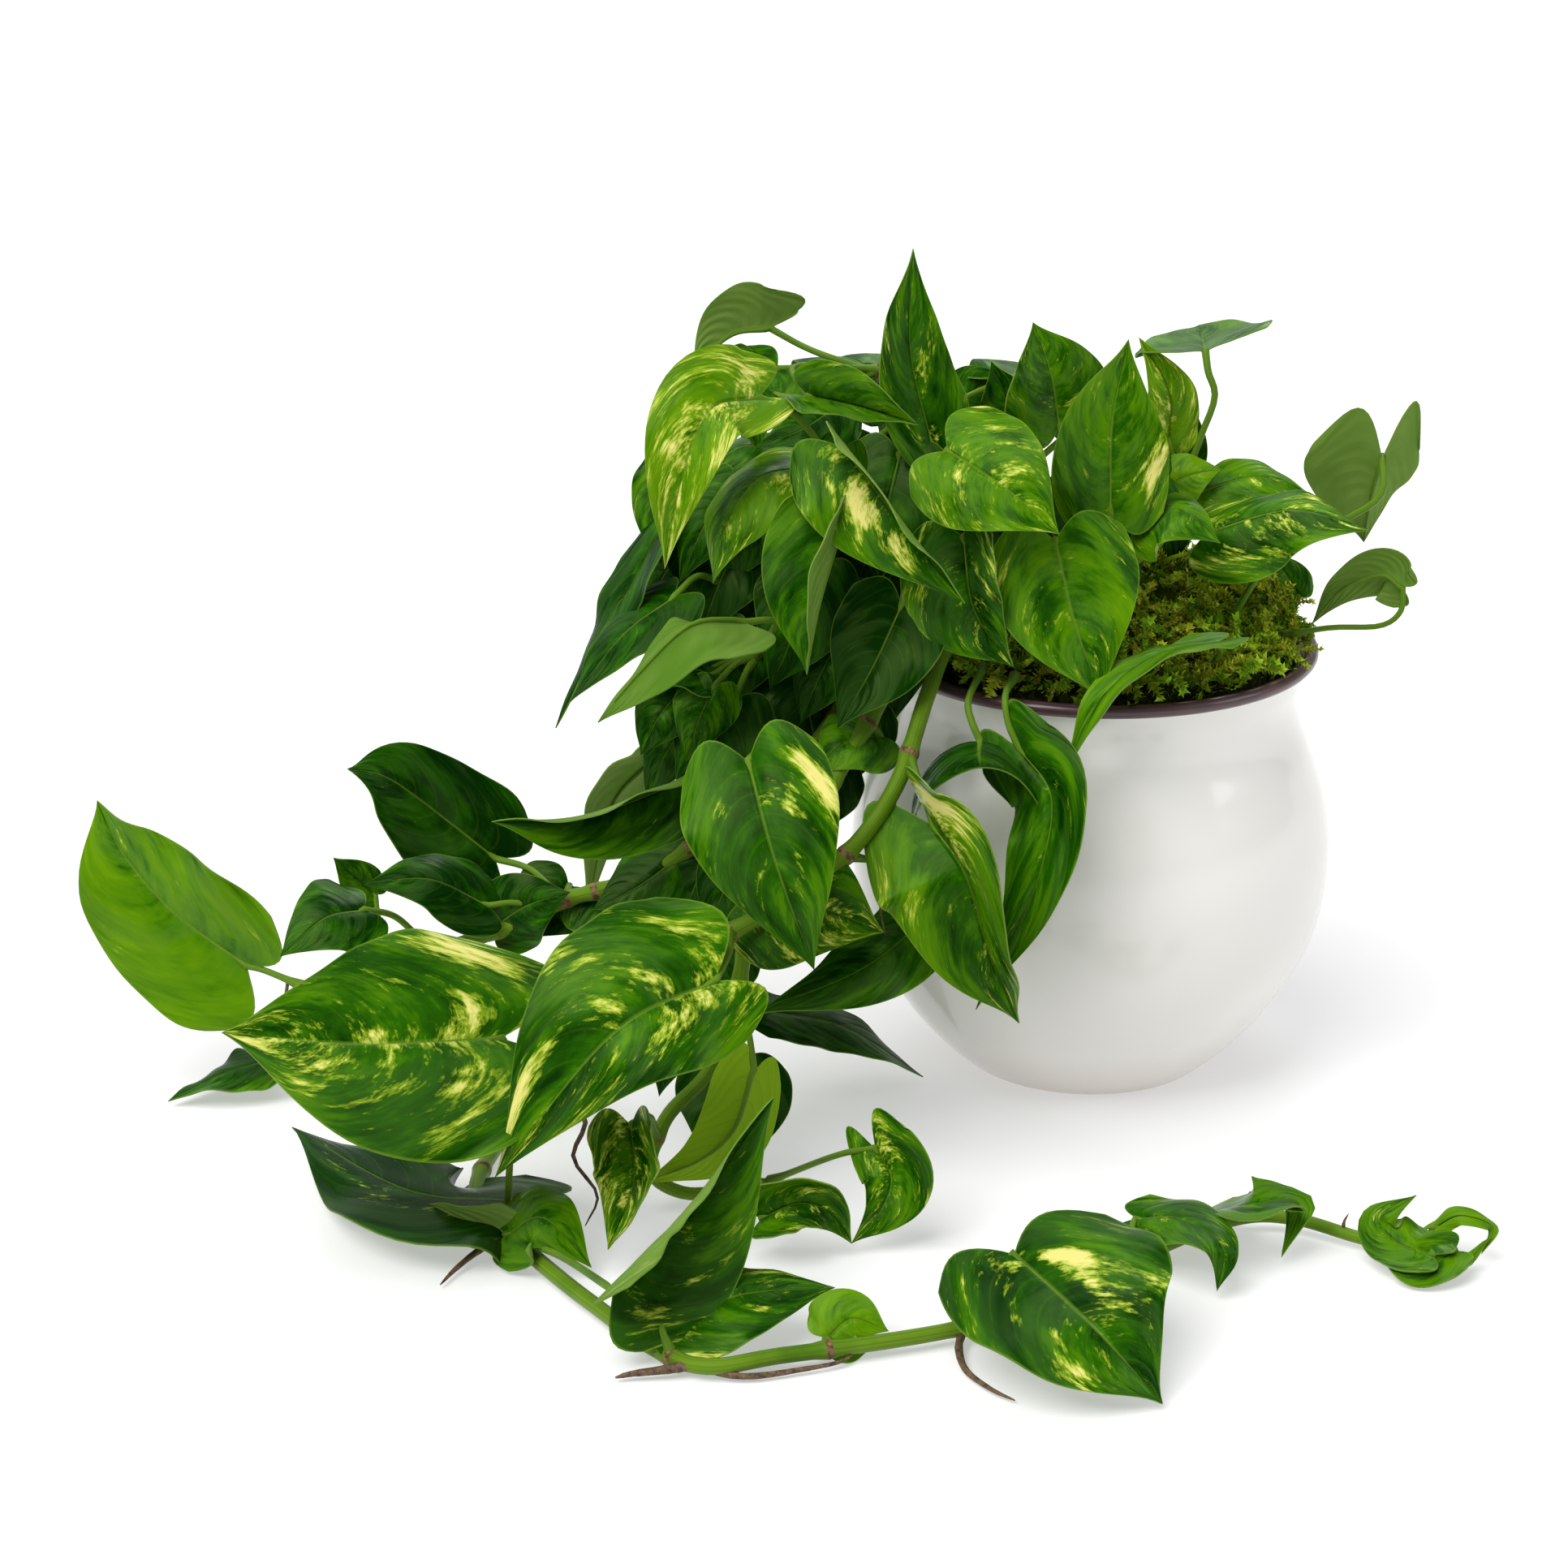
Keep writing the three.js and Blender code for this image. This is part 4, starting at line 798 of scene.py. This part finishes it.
# Bends a flat grid into the leaf of this row. u runs from the notch to the tip and v from the right
# margin, -1, to the left margin, 1.
def leafSurface(row, u, v, chance):
    rib = np.array(row["rib"]) * mm
    length = np.linalg.norm(np.diff(curvePoints(rib, np.linspace(0, 1, 40)), axis=0), axis=1).sum()
    width = row["width"] * mm
    u = u[:, None]
    v = v[:, None]
    half = np.abs(v)
    sign = np.sign(v)
    lobe = row["lobe"] * (1 + 0.12 * sign * chance.uniform(-1, 1))
    reach = u - lobe * np.sin(math.pi * half) * (1 - u) ** 3
    inside = np.maximum(reach[:, 0], 0)
    ahead = curveDirections(rib, inside)
    place = curvePoints(rib, inside) + ahead * np.minimum(reach, 0) * length
    face = squareTo(row["face"], ahead)
    side = np.cross(face, ahead)
    twist = np.radians(row.get("twist", leaf["twist"] * chance.uniform(-1, 1))) * (inside[:, None] - 0.35)
    face, side = face * np.cos(twist) + side * np.sin(twist), side * np.cos(twist) - face * np.sin(twist)
    distance = half * width / 2 * leafShare(u) * bySide(row["halves"], v)
    foldAngle = np.radians(bySide(row["fold"], v))
    curlAngle = np.radians(bySide(row["curl"], v))
    slices = leaf["slices"]
    for k in range(slices):
        angle = foldAngle + curlAngle * distance * (k + 0.5) / slices / (width / 2)
        place = place + side * sign * np.cos(angle) * distance / slices
        place = place + face * np.sin(angle) * distance / slices
    turn = np.where(half > 0, foldAngle + curlAngle * distance / (width / 2), 0)
    normal = face * np.cos(turn) - side * sign * np.sin(turn)
    # a gently waved margin, a sunken rib and pillows between the side veins
    waves = np.sin(2 * math.pi * (chance.uniform(1.2, 2.1) * u + chance.random() + 0.17 * sign))
    ruffle = np.sin(2 * math.pi * (chance.uniform(3.2, 4.6) * u + chance.random() - 0.2 * sign))
    offset = row["wave"] * length * half**2 * (waves + 0.3 * ruffle) * (1 - u**3)
    offset = offset - leaf["ribDepth"] * np.exp(-((half / 0.07) ** 2)) * (1 - u)
    stripe = u - 0.2 * half - 0.18 * half**2
    quilt = np.cos(2 * math.pi * stripe * veinsPerLeaf) * np.sin(math.pi * np.clip(half * 0.95, 0, 1))
    offset = offset - leaf["quilt"] * quilt * (1 - u)
    return place + normal * offset, normal, length


def addBlade(row, chance):
    bpy.ops.mesh.primitive_grid_add(x_subdivisions=leaf["along"], y_subdivisions=leaf["across"], size=2)
    blade = bpy.context.object
    blade.name = row["name"]
    flat = vertexPlaces(blade)
    u = (flat[:, 0] + 1) / 2
    u = u**1.1
    v = flat[:, 1]
    places, normals, length = leafSurface(row, u, v, chance)
    places[:, 2] = np.maximum(places[:, 2], leaf["sheet"] + 0.15 * mm)
    level = np.full(len(u), float(row["cream"]))
    for patchAlong, patchAcross, sizeAlong, sizeAcross, *strength in row["patch"]:
        farAlong = (u - 0.3 * np.abs(v) - patchAlong) / sizeAlong
        spread = farAlong**2 + ((v - patchAcross) / sizeAcross) ** 2
        level = level + (strength[0] if strength else leaf["patchCream"]) * np.exp(-spread)
    setAttribute(blade, "cream", level)
    setAttribute(blade, "tone", row["tone"])
    setAttribute(blade, "seed", chance.uniform(0, 90))
    setAttribute(blade, "knot", 0)
    growth = blade.data.uv_layers[0]
    growth.name = "growthMap"
    corners = np.empty(len(blade.data.loops), int)
    blade.data.loops.foreach_get("vertex_index", corners)
    growth.data.foreach_set("uv", np.stack([u[corners], (v[corners] + 1) / 2], 1).ravel().copy())
    blade.data.vertices.foreach_set("co", places.ravel())
    wear(blade, leafFace, leafBack, stalkSkin)
    selectOnly(blade)
    bpy.ops.object.mode_set(mode="EDIT")
    bpy.ops.mesh.select_all(action="SELECT")
    bpy.ops.mesh.remove_doubles(threshold=0.00002)
    bpy.ops.object.mode_set(mode="OBJECT")
    sheet = blade.modifiers.new("sheet", "SOLIDIFY")
    sheet.thickness = leaf["sheet"]
    sheet.offset = -1
    sheet.material_offset = 1
    sheet.material_offset_rim = 1
    bpy.ops.object.modifier_apply(modifier="sheet")
    bpy.ops.object.shade_smooth_by_angle(angle=math.radians(55))
    return blade


# The stalk rises from its vine in a flared foot, meets the notch, and runs on under the blade
# as the rib, thinning towards the tip
def addStalk(row, chance):
    rib = np.array(row["rib"]) * mm
    ahead = curveDirections(rib, np.array([0.0]))[0]
    face = squareTo(row["face"], ahead)
    if "stalk" in row:
        line = [np.array(p) * mm for p in row["stalk"]]
    else:
        name, index = nearestVine(rib[0])
        start = vineCurves[name]["points"][index]
        span = np.linalg.norm(rib[0] - start)
        middle = (start + rib[0]) / 2 + np.array([0, 0, 0.14]) * span - face * span * 0.1
        line = [start, middle]
    name, index = nearestVine(line[0])
    grown = vineCurves[name]
    foot = grown["points"][index]
    if np.linalg.norm(foot - line[0]) < leaf["vineReach"]:
        grown["nodes"].append(grown["lengths"][index])
        line[0] = foot
    line = np.array([*line, rib[0] - ahead * 0.5 * mm - face * 0.5 * mm])
    shares = np.linspace(0, 1, leaf["stalkPoints"])
    stalkLine = curvePoints(line, shares)
    walked = np.linalg.norm(stalkLine - stalkLine[0], axis=1)
    flare = (leaf["stalkFoot"] - leaf["stalk"]) * np.exp(-((walked / leaf["stalkFlare"]) ** 2))
    scale = min(1.0, 0.62 + row["width"] / 110)
    radii = leaf["stalk"] * scale * (1 - 0.12 * np.sin(math.pi * shares)) + flare * scale
    ribShares = np.linspace(0.05, 0.86, leaf["ribPoints"])
    under = curvePoints(rib, ribShares)
    faces = squareTo(row["face"], curveDirections(rib, ribShares))
    ribRadii = leaf["stalk"] * scale * 0.72 * (1 - ribShares) ** 0.8 + 0.00012
    depth = leaf["ribDepth"] * (1 - ribShares) + leaf["sheet"] + ribRadii * 0.35
    under = under - faces * depth[:, None]
    points = np.vstack([stalkLine, under])
    stalk = addRod("stalk", points, np.concatenate([radii, ribRadii]), 8)
    setAttribute(stalk, "cream", 0)
    setAttribute(stalk, "tone", row["tone"])
    setAttribute(stalk, "seed", chance.uniform(0, 90))
    gaps = np.linalg.norm(vertexPlaces(stalk) - points[0], axis=1)
    setAttribute(stalk, "knot", np.exp(-((gaps / leaf["knot"]) ** 2)) * 0.6)
    wear(stalk, leafFace, leafBack, stalkSkin)
    stalk.data.polygons.foreach_set("material_index", np.full(len(stalk.data.polygons), 2))
    return stalk


def growLeaf(row):
    chance = random.Random(row["name"])
    blade = addBlade(row, chance)
    joinTo(blade, addStalk(row, chance))
    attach(blade, "root")
    return blade


for row in leaves:
    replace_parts(growLeaf(row), row["name"])
for row in smallLeaves:
    growLeaf(row)
print("leaves grown:", len(leaves) + len(smallLeaves))


# Each vine swells at its nodes, where leaves grow from it
for name, line in vineCurves.items():
    total = line["lengths"][-1]
    steps = int(total / mm * vine["stepsPerMm"]) + 8
    walked = np.linspace(0, total, steps)
    points = np.stack([np.interp(walked, line["lengths"], line["points"][:, k]) for k in range(3)], 1)
    nodes = np.array(sorted(line["nodes"]))
    spare = [d for d in np.arange(vine["spareStart"], total, vine["spareStep"])
             if len(nodes) == 0 or np.abs(nodes - d).min() > vine["spareGap"]]
    nodes = np.array(sorted([*nodes, *spare]))
    nearest = np.abs(walked[:, None] - nodes[None, :]).min(axis=1)
    swell = 1 + vine["nodeSwell"] * np.exp(-((nearest / vine["nodeReach"]) ** 2))
    taper = 1 - vine["taper"] * np.clip(walked / total, 0, 1) ** 3
    radii = line["radius"] * vine["body"] * swell * taper
    radii[-len(vine["tip"]):] *= np.array(vine["tip"])
    stem = addRod(name, points, radii, vine["sides"])
    spots = vertexPlaces(stem)
    closest = np.argmin(np.linalg.norm(spots[:, None, :] - points[None, :, :], axis=2), axis=1)
    setAttribute(stem, "knot", np.exp(-((nearest[closest] / vine["ringReach"]) ** 2)))
    wear(stem, vineSkin)
    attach(stem, "root")
    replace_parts(stem, name)
print("vines ready")


rootPoints = 18
# millimetres: the radius of the thick end, then the points out to the thin end
roots = {
    "root_floor_01": (1.7, [[-233, -188, 5], [-243, -200, 5], [-251, -211, 3], [-256, -222, 2]]),
    "root_floor_02": (1.2, [[-233, -188, 6], [-240, -186, 9], [-246, -192, 8]]),
    "root_floor_03": (2.2, [[-160, -287, 5], [-171, -289, 4], [-182, -290, 3], [-188, -291, 2]]),
    "root_floor_04": (1.4, [[-158, -288, 4], [-142, -291, 2.5], [-122, -286, 2.5], [-108, -281, 3],
                            [-102, -275, 5]]),
    "root_floor_05": (1.7, [[-64, -262, 5], [-66, -272, 3], [-64, -286, 2], [-56, -299, 2],
                            [-48, -306, 1.5]]),
    "root_runner_01": (1.3, [[46, -176, 7], [49, -178, 12], [48, -180, 17], [49, -181, 20]]),
    "root_runner_02": (0.8, [[84, -186, 7], [84, -188, 11], [85, -190, 15]]),
    "root_hanging_01": (0.8, [[-330, -70, 59], [-332, -72, 48], [-336, -76, 38], [-338, -80, 28],
                              [-337, -82, 20]]),
    "root_hanging_02": (1.1, [[-85, -108, 156], [-88, -112, 140], [-86, -116, 126], [-91, -118, 112],
                              [-89, -120, 100]]),
    "root_hanging_03": (1.4, [[-206, -112, 46], [-214, -128, 40], [-206, -140, 30], [-210, -156, 22],
                              [-200, -172, 14], [-204, -186, 8]]),
    "root_hanging_04": (0.8, [[-114, -102, 164], [-120, -112, 150], [-118, -118, 138]]),
}
for name, (radius, route) in roots.items():
    line = curvePoints(np.array(route) * mm, np.linspace(0, 1, rootPoints))
    chance = random.Random(name)
    radii = radius * mm * (np.linspace(1, 0, rootPoints) ** 0.7 * 0.85 + 0.15)
    radii = radii * np.array([1 + chance.uniform(-0.08, 0.08) for _ in radii])
    root = addRod(name, line, radii, 8)
    wear(root, rootBark)
    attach(root, "root")
print("aerial roots ready")


# millimetres, and degrees round the bead; an outline point is a radius and a height
pot = {
    "outline": [[50, 0], [52.5, 0.6], [55, 2.6], [67, 14], [81, 32], [95.5, 60], [100, 92], [97.5, 116],
                [91, 136], [85.5, 151], [84, 162], [86, 172], [87.3, 178.4]],
    "foot": [[0, 1.2], [40, 1.2], [44, 0], [50, 0]],
    "outlineSteps": 80, "beadRing": 88.6, "beadHeight": 181, "beadRadius": 2.8, "beadStart": -118,
    "beadTurn": 298, "beadPoints": 15, "wall": 4.5, "base": 6, "floorRadius": 44, "turns": 144,
}


def potProfile():
    shares = np.linspace(0, 1, pot["outlineSteps"])
    outer = curvePoints([[x, z, 0] for x, z in pot["outline"]], shares)[:, :2]
    bead = []
    for k in range(pot["beadPoints"]):
        angle = math.radians(pot["beadStart"] + k * (pot["beadTurn"] / (pot["beadPoints"] - 1)))
        bead.append([pot["beadRing"] + pot["beadRadius"] * math.cos(angle),
                     pot["beadHeight"] + pot["beadRadius"] * math.sin(angle)])
    inner = [[x - pot["wall"], z] for x, z in outer[::-1] if z > pot["base"] + 5]
    inner += [[pot["floorRadius"], pot["base"]], [0, pot["base"]]]
    return [*pot["foot"][:-1], *outer.tolist(), *bead, *inner]


def glazeMaterial():
    look = {"Roughness": 0.16, "Coat Weight": 0.35, "Coat Roughness": 0.04, "Specular IOR Level": 0.5}
    material, wires = newMaterial("whiteGlaze", look)
    place = wires.place()
    height = wires.add("ShaderNodeSeparateXYZ", {}, {0: place}, 2)
    cloud = wires.noise(place, 9, 3)
    colour = wires.mix(cloud.ramp(0.35, 0.7), (0.84, 0.825, 0.79), (0.81, 0.79, 0.75))
    # the glaze turns darker and warmer over the lowest 3 cm
    warm = height.ramp(0.03, 0.0)
    colour = wires.mix(warm * 0.6, colour, (0.64, 0.55, 0.49))
    ripple = wires.noise(place, 30, 2)
    return finish(material, wires, colour, 0.13 + cloud * 0.08, wires.bump(ripple, 0.0012, 0.25))


def rimMaterial():
    material, wires = newMaterial("rimGlaze", {"Coat Weight": 0.3, "Coat Roughness": 0.12})
    place = wires.place()
    cloud = wires.noise(place, 60, 3)
    colour = wires.mix(cloud.ramp(0.35, 0.7), (0.045, 0.016, 0.02), (0.085, 0.034, 0.038))
    return finish(material, wires, colour, 0.26 + cloud * 0.2, wires.bump(cloud, 0.0006, 0.3))


# A plane cut down to one corner starts the profile, which is then extruded and spun round
def spinProfile(name, profile, turns):
    bpy.ops.mesh.primitive_plane_add(size=0.01)
    body = bpy.context.object
    body.name = name
    bpy.ops.object.mode_set(mode="EDIT")
    bpy.ops.mesh.select_all(action="SELECT")
    bpy.ops.mesh.merge(type="CENTER")
    start = Vector((profile[0][0] * mm, 0, profile[0][1] * mm))
    bpy.ops.transform.translate(value=start)
    last = start
    for x, z in profile[1:]:
        spot = Vector((x * mm, 0, z * mm))
        bpy.ops.mesh.extrude_region_move(TRANSFORM_OT_translate={"value": spot - last})
        last = spot
    bpy.ops.mesh.select_all(action="SELECT")
    bpy.ops.mesh.spin(steps=turns, angle=2 * math.pi, center=(0, 0, 0), axis=(0, 0, 1))
    bpy.ops.mesh.select_all(action="SELECT")
    bpy.ops.mesh.remove_doubles(threshold=0.00001)
    bpy.ops.mesh.normals_make_consistent(inside=False)
    bpy.ops.object.mode_set(mode="OBJECT")
    bpy.ops.object.shade_smooth_by_angle(angle=math.radians(40))
    return body


potBody = spinProfile("glazed_pot", potProfile(), pot["turns"])
wear(potBody, glazeMaterial(), rimMaterial())
for face in potBody.data.polygons:
    onBead = math.hypot(face.center.x, face.center.y) > (pot["beadRing"] - pot["beadRadius"] - 0.6) * mm
    face.material_index = int(onBead and face.center.z > (pot["beadHeight"] - 2.6) * mm)
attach(potBody, "root")
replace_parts(potBody, "pot")
print("pot ready")


def pottingMaterial():
    material, wires = newMaterial("pottingMix", {"Roughness": 0.95})
    place = wires.place()
    crumbs = wires.add("ShaderNodeTexVoronoi", {}, {"Vector": place, "Scale": 380})
    colour = wires.mix(crumbs.ramp(0.1, 0.6), (0.05, 0.03, 0.018), (0.012, 0.008, 0.006))
    return finish(material, wires, colour, normal=wires.bump(crumbs, 0.002, 1.0))


def mossMaterial():
    material, wires = newMaterial("sheetMoss", {"Roughness": 0.85, "Specular IOR Level": 0.2})
    place = wires.place()
    tint = wires.attribute("tint")
    tipward = wires.attribute("tipward")
    clumps = wires.noise(place, 26, 3)
    # each strand is darker towards its base and lighter towards its tip: partly the moss's own paler tips,
    # partly painted shade deep in the moss
    green = wires.mix(tipward, (0.03, 0.09, 0.001), (0.24, 0.44, 0.008))
    yellow = wires.mix(tipward, (0.09, 0.1, 0.003), (0.46, 0.52, 0.025))
    brown = wires.mix(tipward, (0.05, 0.022, 0.003), (0.34, 0.17, 0.04))
    colour = wires.mix((tint * 0.7 + clumps * 0.9 - 0.45).ramp(0.2, 0.65), green, yellow)
    colour = wires.mix((tint * 0.5 + clumps - 0.55).ramp(0.5, 0.68), colour, brown)
    return finish(material, wires, colour)


# The bed under the strands is near black: partly the dark of old moss, partly painted shade in the gaps
# between strands
def cushionMaterial():
    material, wires = newMaterial("mossFeltAndShade", {"Roughness": 0.95, "Specular IOR Level": 0.1})
    place = wires.place()
    fuzz = wires.noise(place, 300, 4, 0.7)
    colour = wires.mix(fuzz.ramp(0.4, 0.65), (0.006, 0.008, 0.002), (0.04, 0.05, 0.006))
    return finish(material, wires, colour, normal=wires.bump(fuzz, 0.003, 1.0))


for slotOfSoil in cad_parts["soil"].material_slots:
    slotOfSoil.material = pottingMaterial()

# millimetres; the heap is its middle's x and y, its spread and its height
moss = {
    "profile": [[0, 171], [79, 171], [80.5, 178], [80.5, 184], [76, 190], [60, 196], [32, 200], [0, 201.5]],
    "turns": 72, "lumps": 4.0, "lumpsAbove": 186, "heap": [36, 14, 38, 21], "strands": 1800, "shapes": 8,
    "stations": 11, "reach": 81.5, "lipRadius": 82.5, "lipTop": 185, "length": [10, 19],
    "rooted": 1.5, "stemWidth": 0.07, "leaflet": 0.23,
}

cushion = spinProfile("moss_cushion", moss["profile"], moss["turns"])
selectOnly(cushion)
bpy.ops.object.mode_set(mode="EDIT")
bpy.ops.mesh.select_all(action="SELECT")
bpy.ops.mesh.subdivide(number_cuts=2)
bpy.ops.object.mode_set(mode="OBJECT")
spots = vertexPlaces(cushion)
for k, spot in enumerate(spots):
    lump = noise.noise(Vector(spot) * 70) * moss["lumps"] * mm
    spots[k][2] += lump * (spot[2] > moss["lumpsAbove"] * mm)
cushion.data.vertices.foreach_set("co", spots.ravel())
bpy.ops.object.shade_smooth()
wear(cushion, cushionMaterial())
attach(cushion, "root")
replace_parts(cushion, "moss")


def mossHeight(radius):
    rings, tops = zip(*moss["profile"][:-5:-1])
    return float(np.interp(radius, rings, tops))


# A heap of strands behind the middle of the open side
def mossHeap(x, y):
    middleX, middleY, spread, height = moss["heap"]
    return height * math.exp(-((middleX - x) ** 2 + (middleY - y) ** 2) / spread**2)


# One strand: a curling three-sided stem with small pointed leaflets standing out all round it
def strandShape(chance):
    stations = moss["stations"]
    bend = Vector((chance.uniform(-1, 1), chance.uniform(-1, 1), -0.4)) * 0.6
    heading = Vector((0, 0, 1))
    place = Vector((0, 0, 0))
    places = [place.copy()]
    for k in range(stations - 1):
        heading = (heading + bend + Vector([chance.uniform(-0.3, 0.3) for _ in range(3)])).normalized()
        bend = bend + Vector([chance.uniform(-0.12, 0.12) for _ in range(3)])
        place = place + heading / (stations - 1)
        places.append(place.copy())
    corners, faces, tipward = [], [], []
    for k, spot in enumerate(places):
        thin = moss["stemWidth"] * (1 - 0.5 * k / stations)
        for turn in range(3):
            angle = turn * 2 * math.pi / 3 + k * 0.5
            corners.append(spot + Vector((math.cos(angle) * thin, math.sin(angle) * thin, 0)))
            tipward.append(0.25 + 0.5 * k / stations)
    for k in range(stations - 1):
        for turn in range(3):
            a, b = k * 3 + turn, k * 3 + (turn + 1) % 3
            faces += [(a, b, b + 3), (a, b + 3, a + 3)]
    for k in range(1, stations):
        ahead = (places[k] - places[k - 1]).normalized()
        for turn in range(4):
            angle = turn * math.pi / 2 + k * 0.8 + chance.uniform(-0.4, 0.4)
            out = Vector((math.cos(angle), math.sin(angle), 0))
            out = (out - ahead * out.dot(ahead)).normalized()
            size = moss["leaflet"] * (1 - 0.35 * k / stations) * chance.uniform(0.8, 1.25)
            wide = ahead.cross(out) * size * 0.4
            tip = places[k] + (out + ahead * 0.6).normalized() * size
            first = len(corners)
            corners += [places[k] + wide, places[k] - wide, tip]
            tipward += [0.35 + 0.4 * k / stations, 0.35 + 0.4 * k / stations, 1.0]
            faces.append((first, first + 1, first + 2))
    return np.array(corners), np.array(faces), np.array(tipward)


def rotationAbout(angle):
    c, s = math.cos(angle), math.sin(angle)
    return np.array([[c, -s, 0], [s, c, 0], [0, 0, 1]])


# Two meshes of strands that lean all ways, and outwards near the rim, where they rest on the lip
def growMoss():
    chance = random.Random(11)
    shapes = [strandShape(chance) for _ in range(moss["shapes"])]
    for part in range(2):
        corners, faces, tipwards, tints = [], [], [], []
        count = 0
        for _ in range(moss["strands"] // 2):
            radius = moss["reach"] * math.sqrt(chance.random())
            angle = chance.uniform(0, 2 * math.pi)
            x, y = radius * math.cos(angle), radius * math.sin(angle)
            base = Vector((x, y, mossHeight(radius) - moss["rooted"])) * mm
            base.z += mossHeap(base.x / mm, base.y / mm) * chance.random() * mm
            rise = noise.noise(base * 25)
            outward = Vector((math.cos(angle), math.sin(angle), 0)) * (radius / moss["reach"]) ** 3 * 0.9
            lean = Vector((chance.uniform(-1, 1), chance.uniform(-1, 1), chance.uniform(0.15, 0.95)))
            heading = (lean + outward).normalized()
            long = chance.uniform(*moss["length"]) * mm * (1 + 0.35 * rise)
            lie = np.array(heading.to_track_quat("Z", "Y").to_matrix())
            spin = lie @ rotationAbout(chance.uniform(0, 2 * math.pi))
            shape, shapeFaces, tipward = shapes[chance.randrange(len(shapes))]
            strand = shape @ spin.T * long + np.array(base)
            past = np.hypot(strand[:, 0], strand[:, 1]) > moss["lipRadius"] * mm
            strand[past, 2] = np.maximum(strand[past, 2], moss["lipTop"] * mm)
            corners.append(strand)
            faces.append(shapeFaces + count)
            tipwards.append(tipward)
            tints.append(np.full(len(shape), chance.random()))
            count += len(shape)
        mesh = bpy.data.meshes.new("moss_strands_%02d" % (part + 1))
        mesh.from_pydata(np.vstack(corners).tolist(), [], np.vstack(faces).tolist())
        strands = bpy.data.objects.new(mesh.name, mesh)
        bpy.context.collection.objects.link(strands)
        setAttribute(strands, "tipward", np.concatenate(tipwards))
        setAttribute(strands, "tint", np.concatenate(tints))
        mesh.materials.append(mossLook)
        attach(strands, "root")


mossLook = mossMaterial()
growMoss()
print("moss ready")
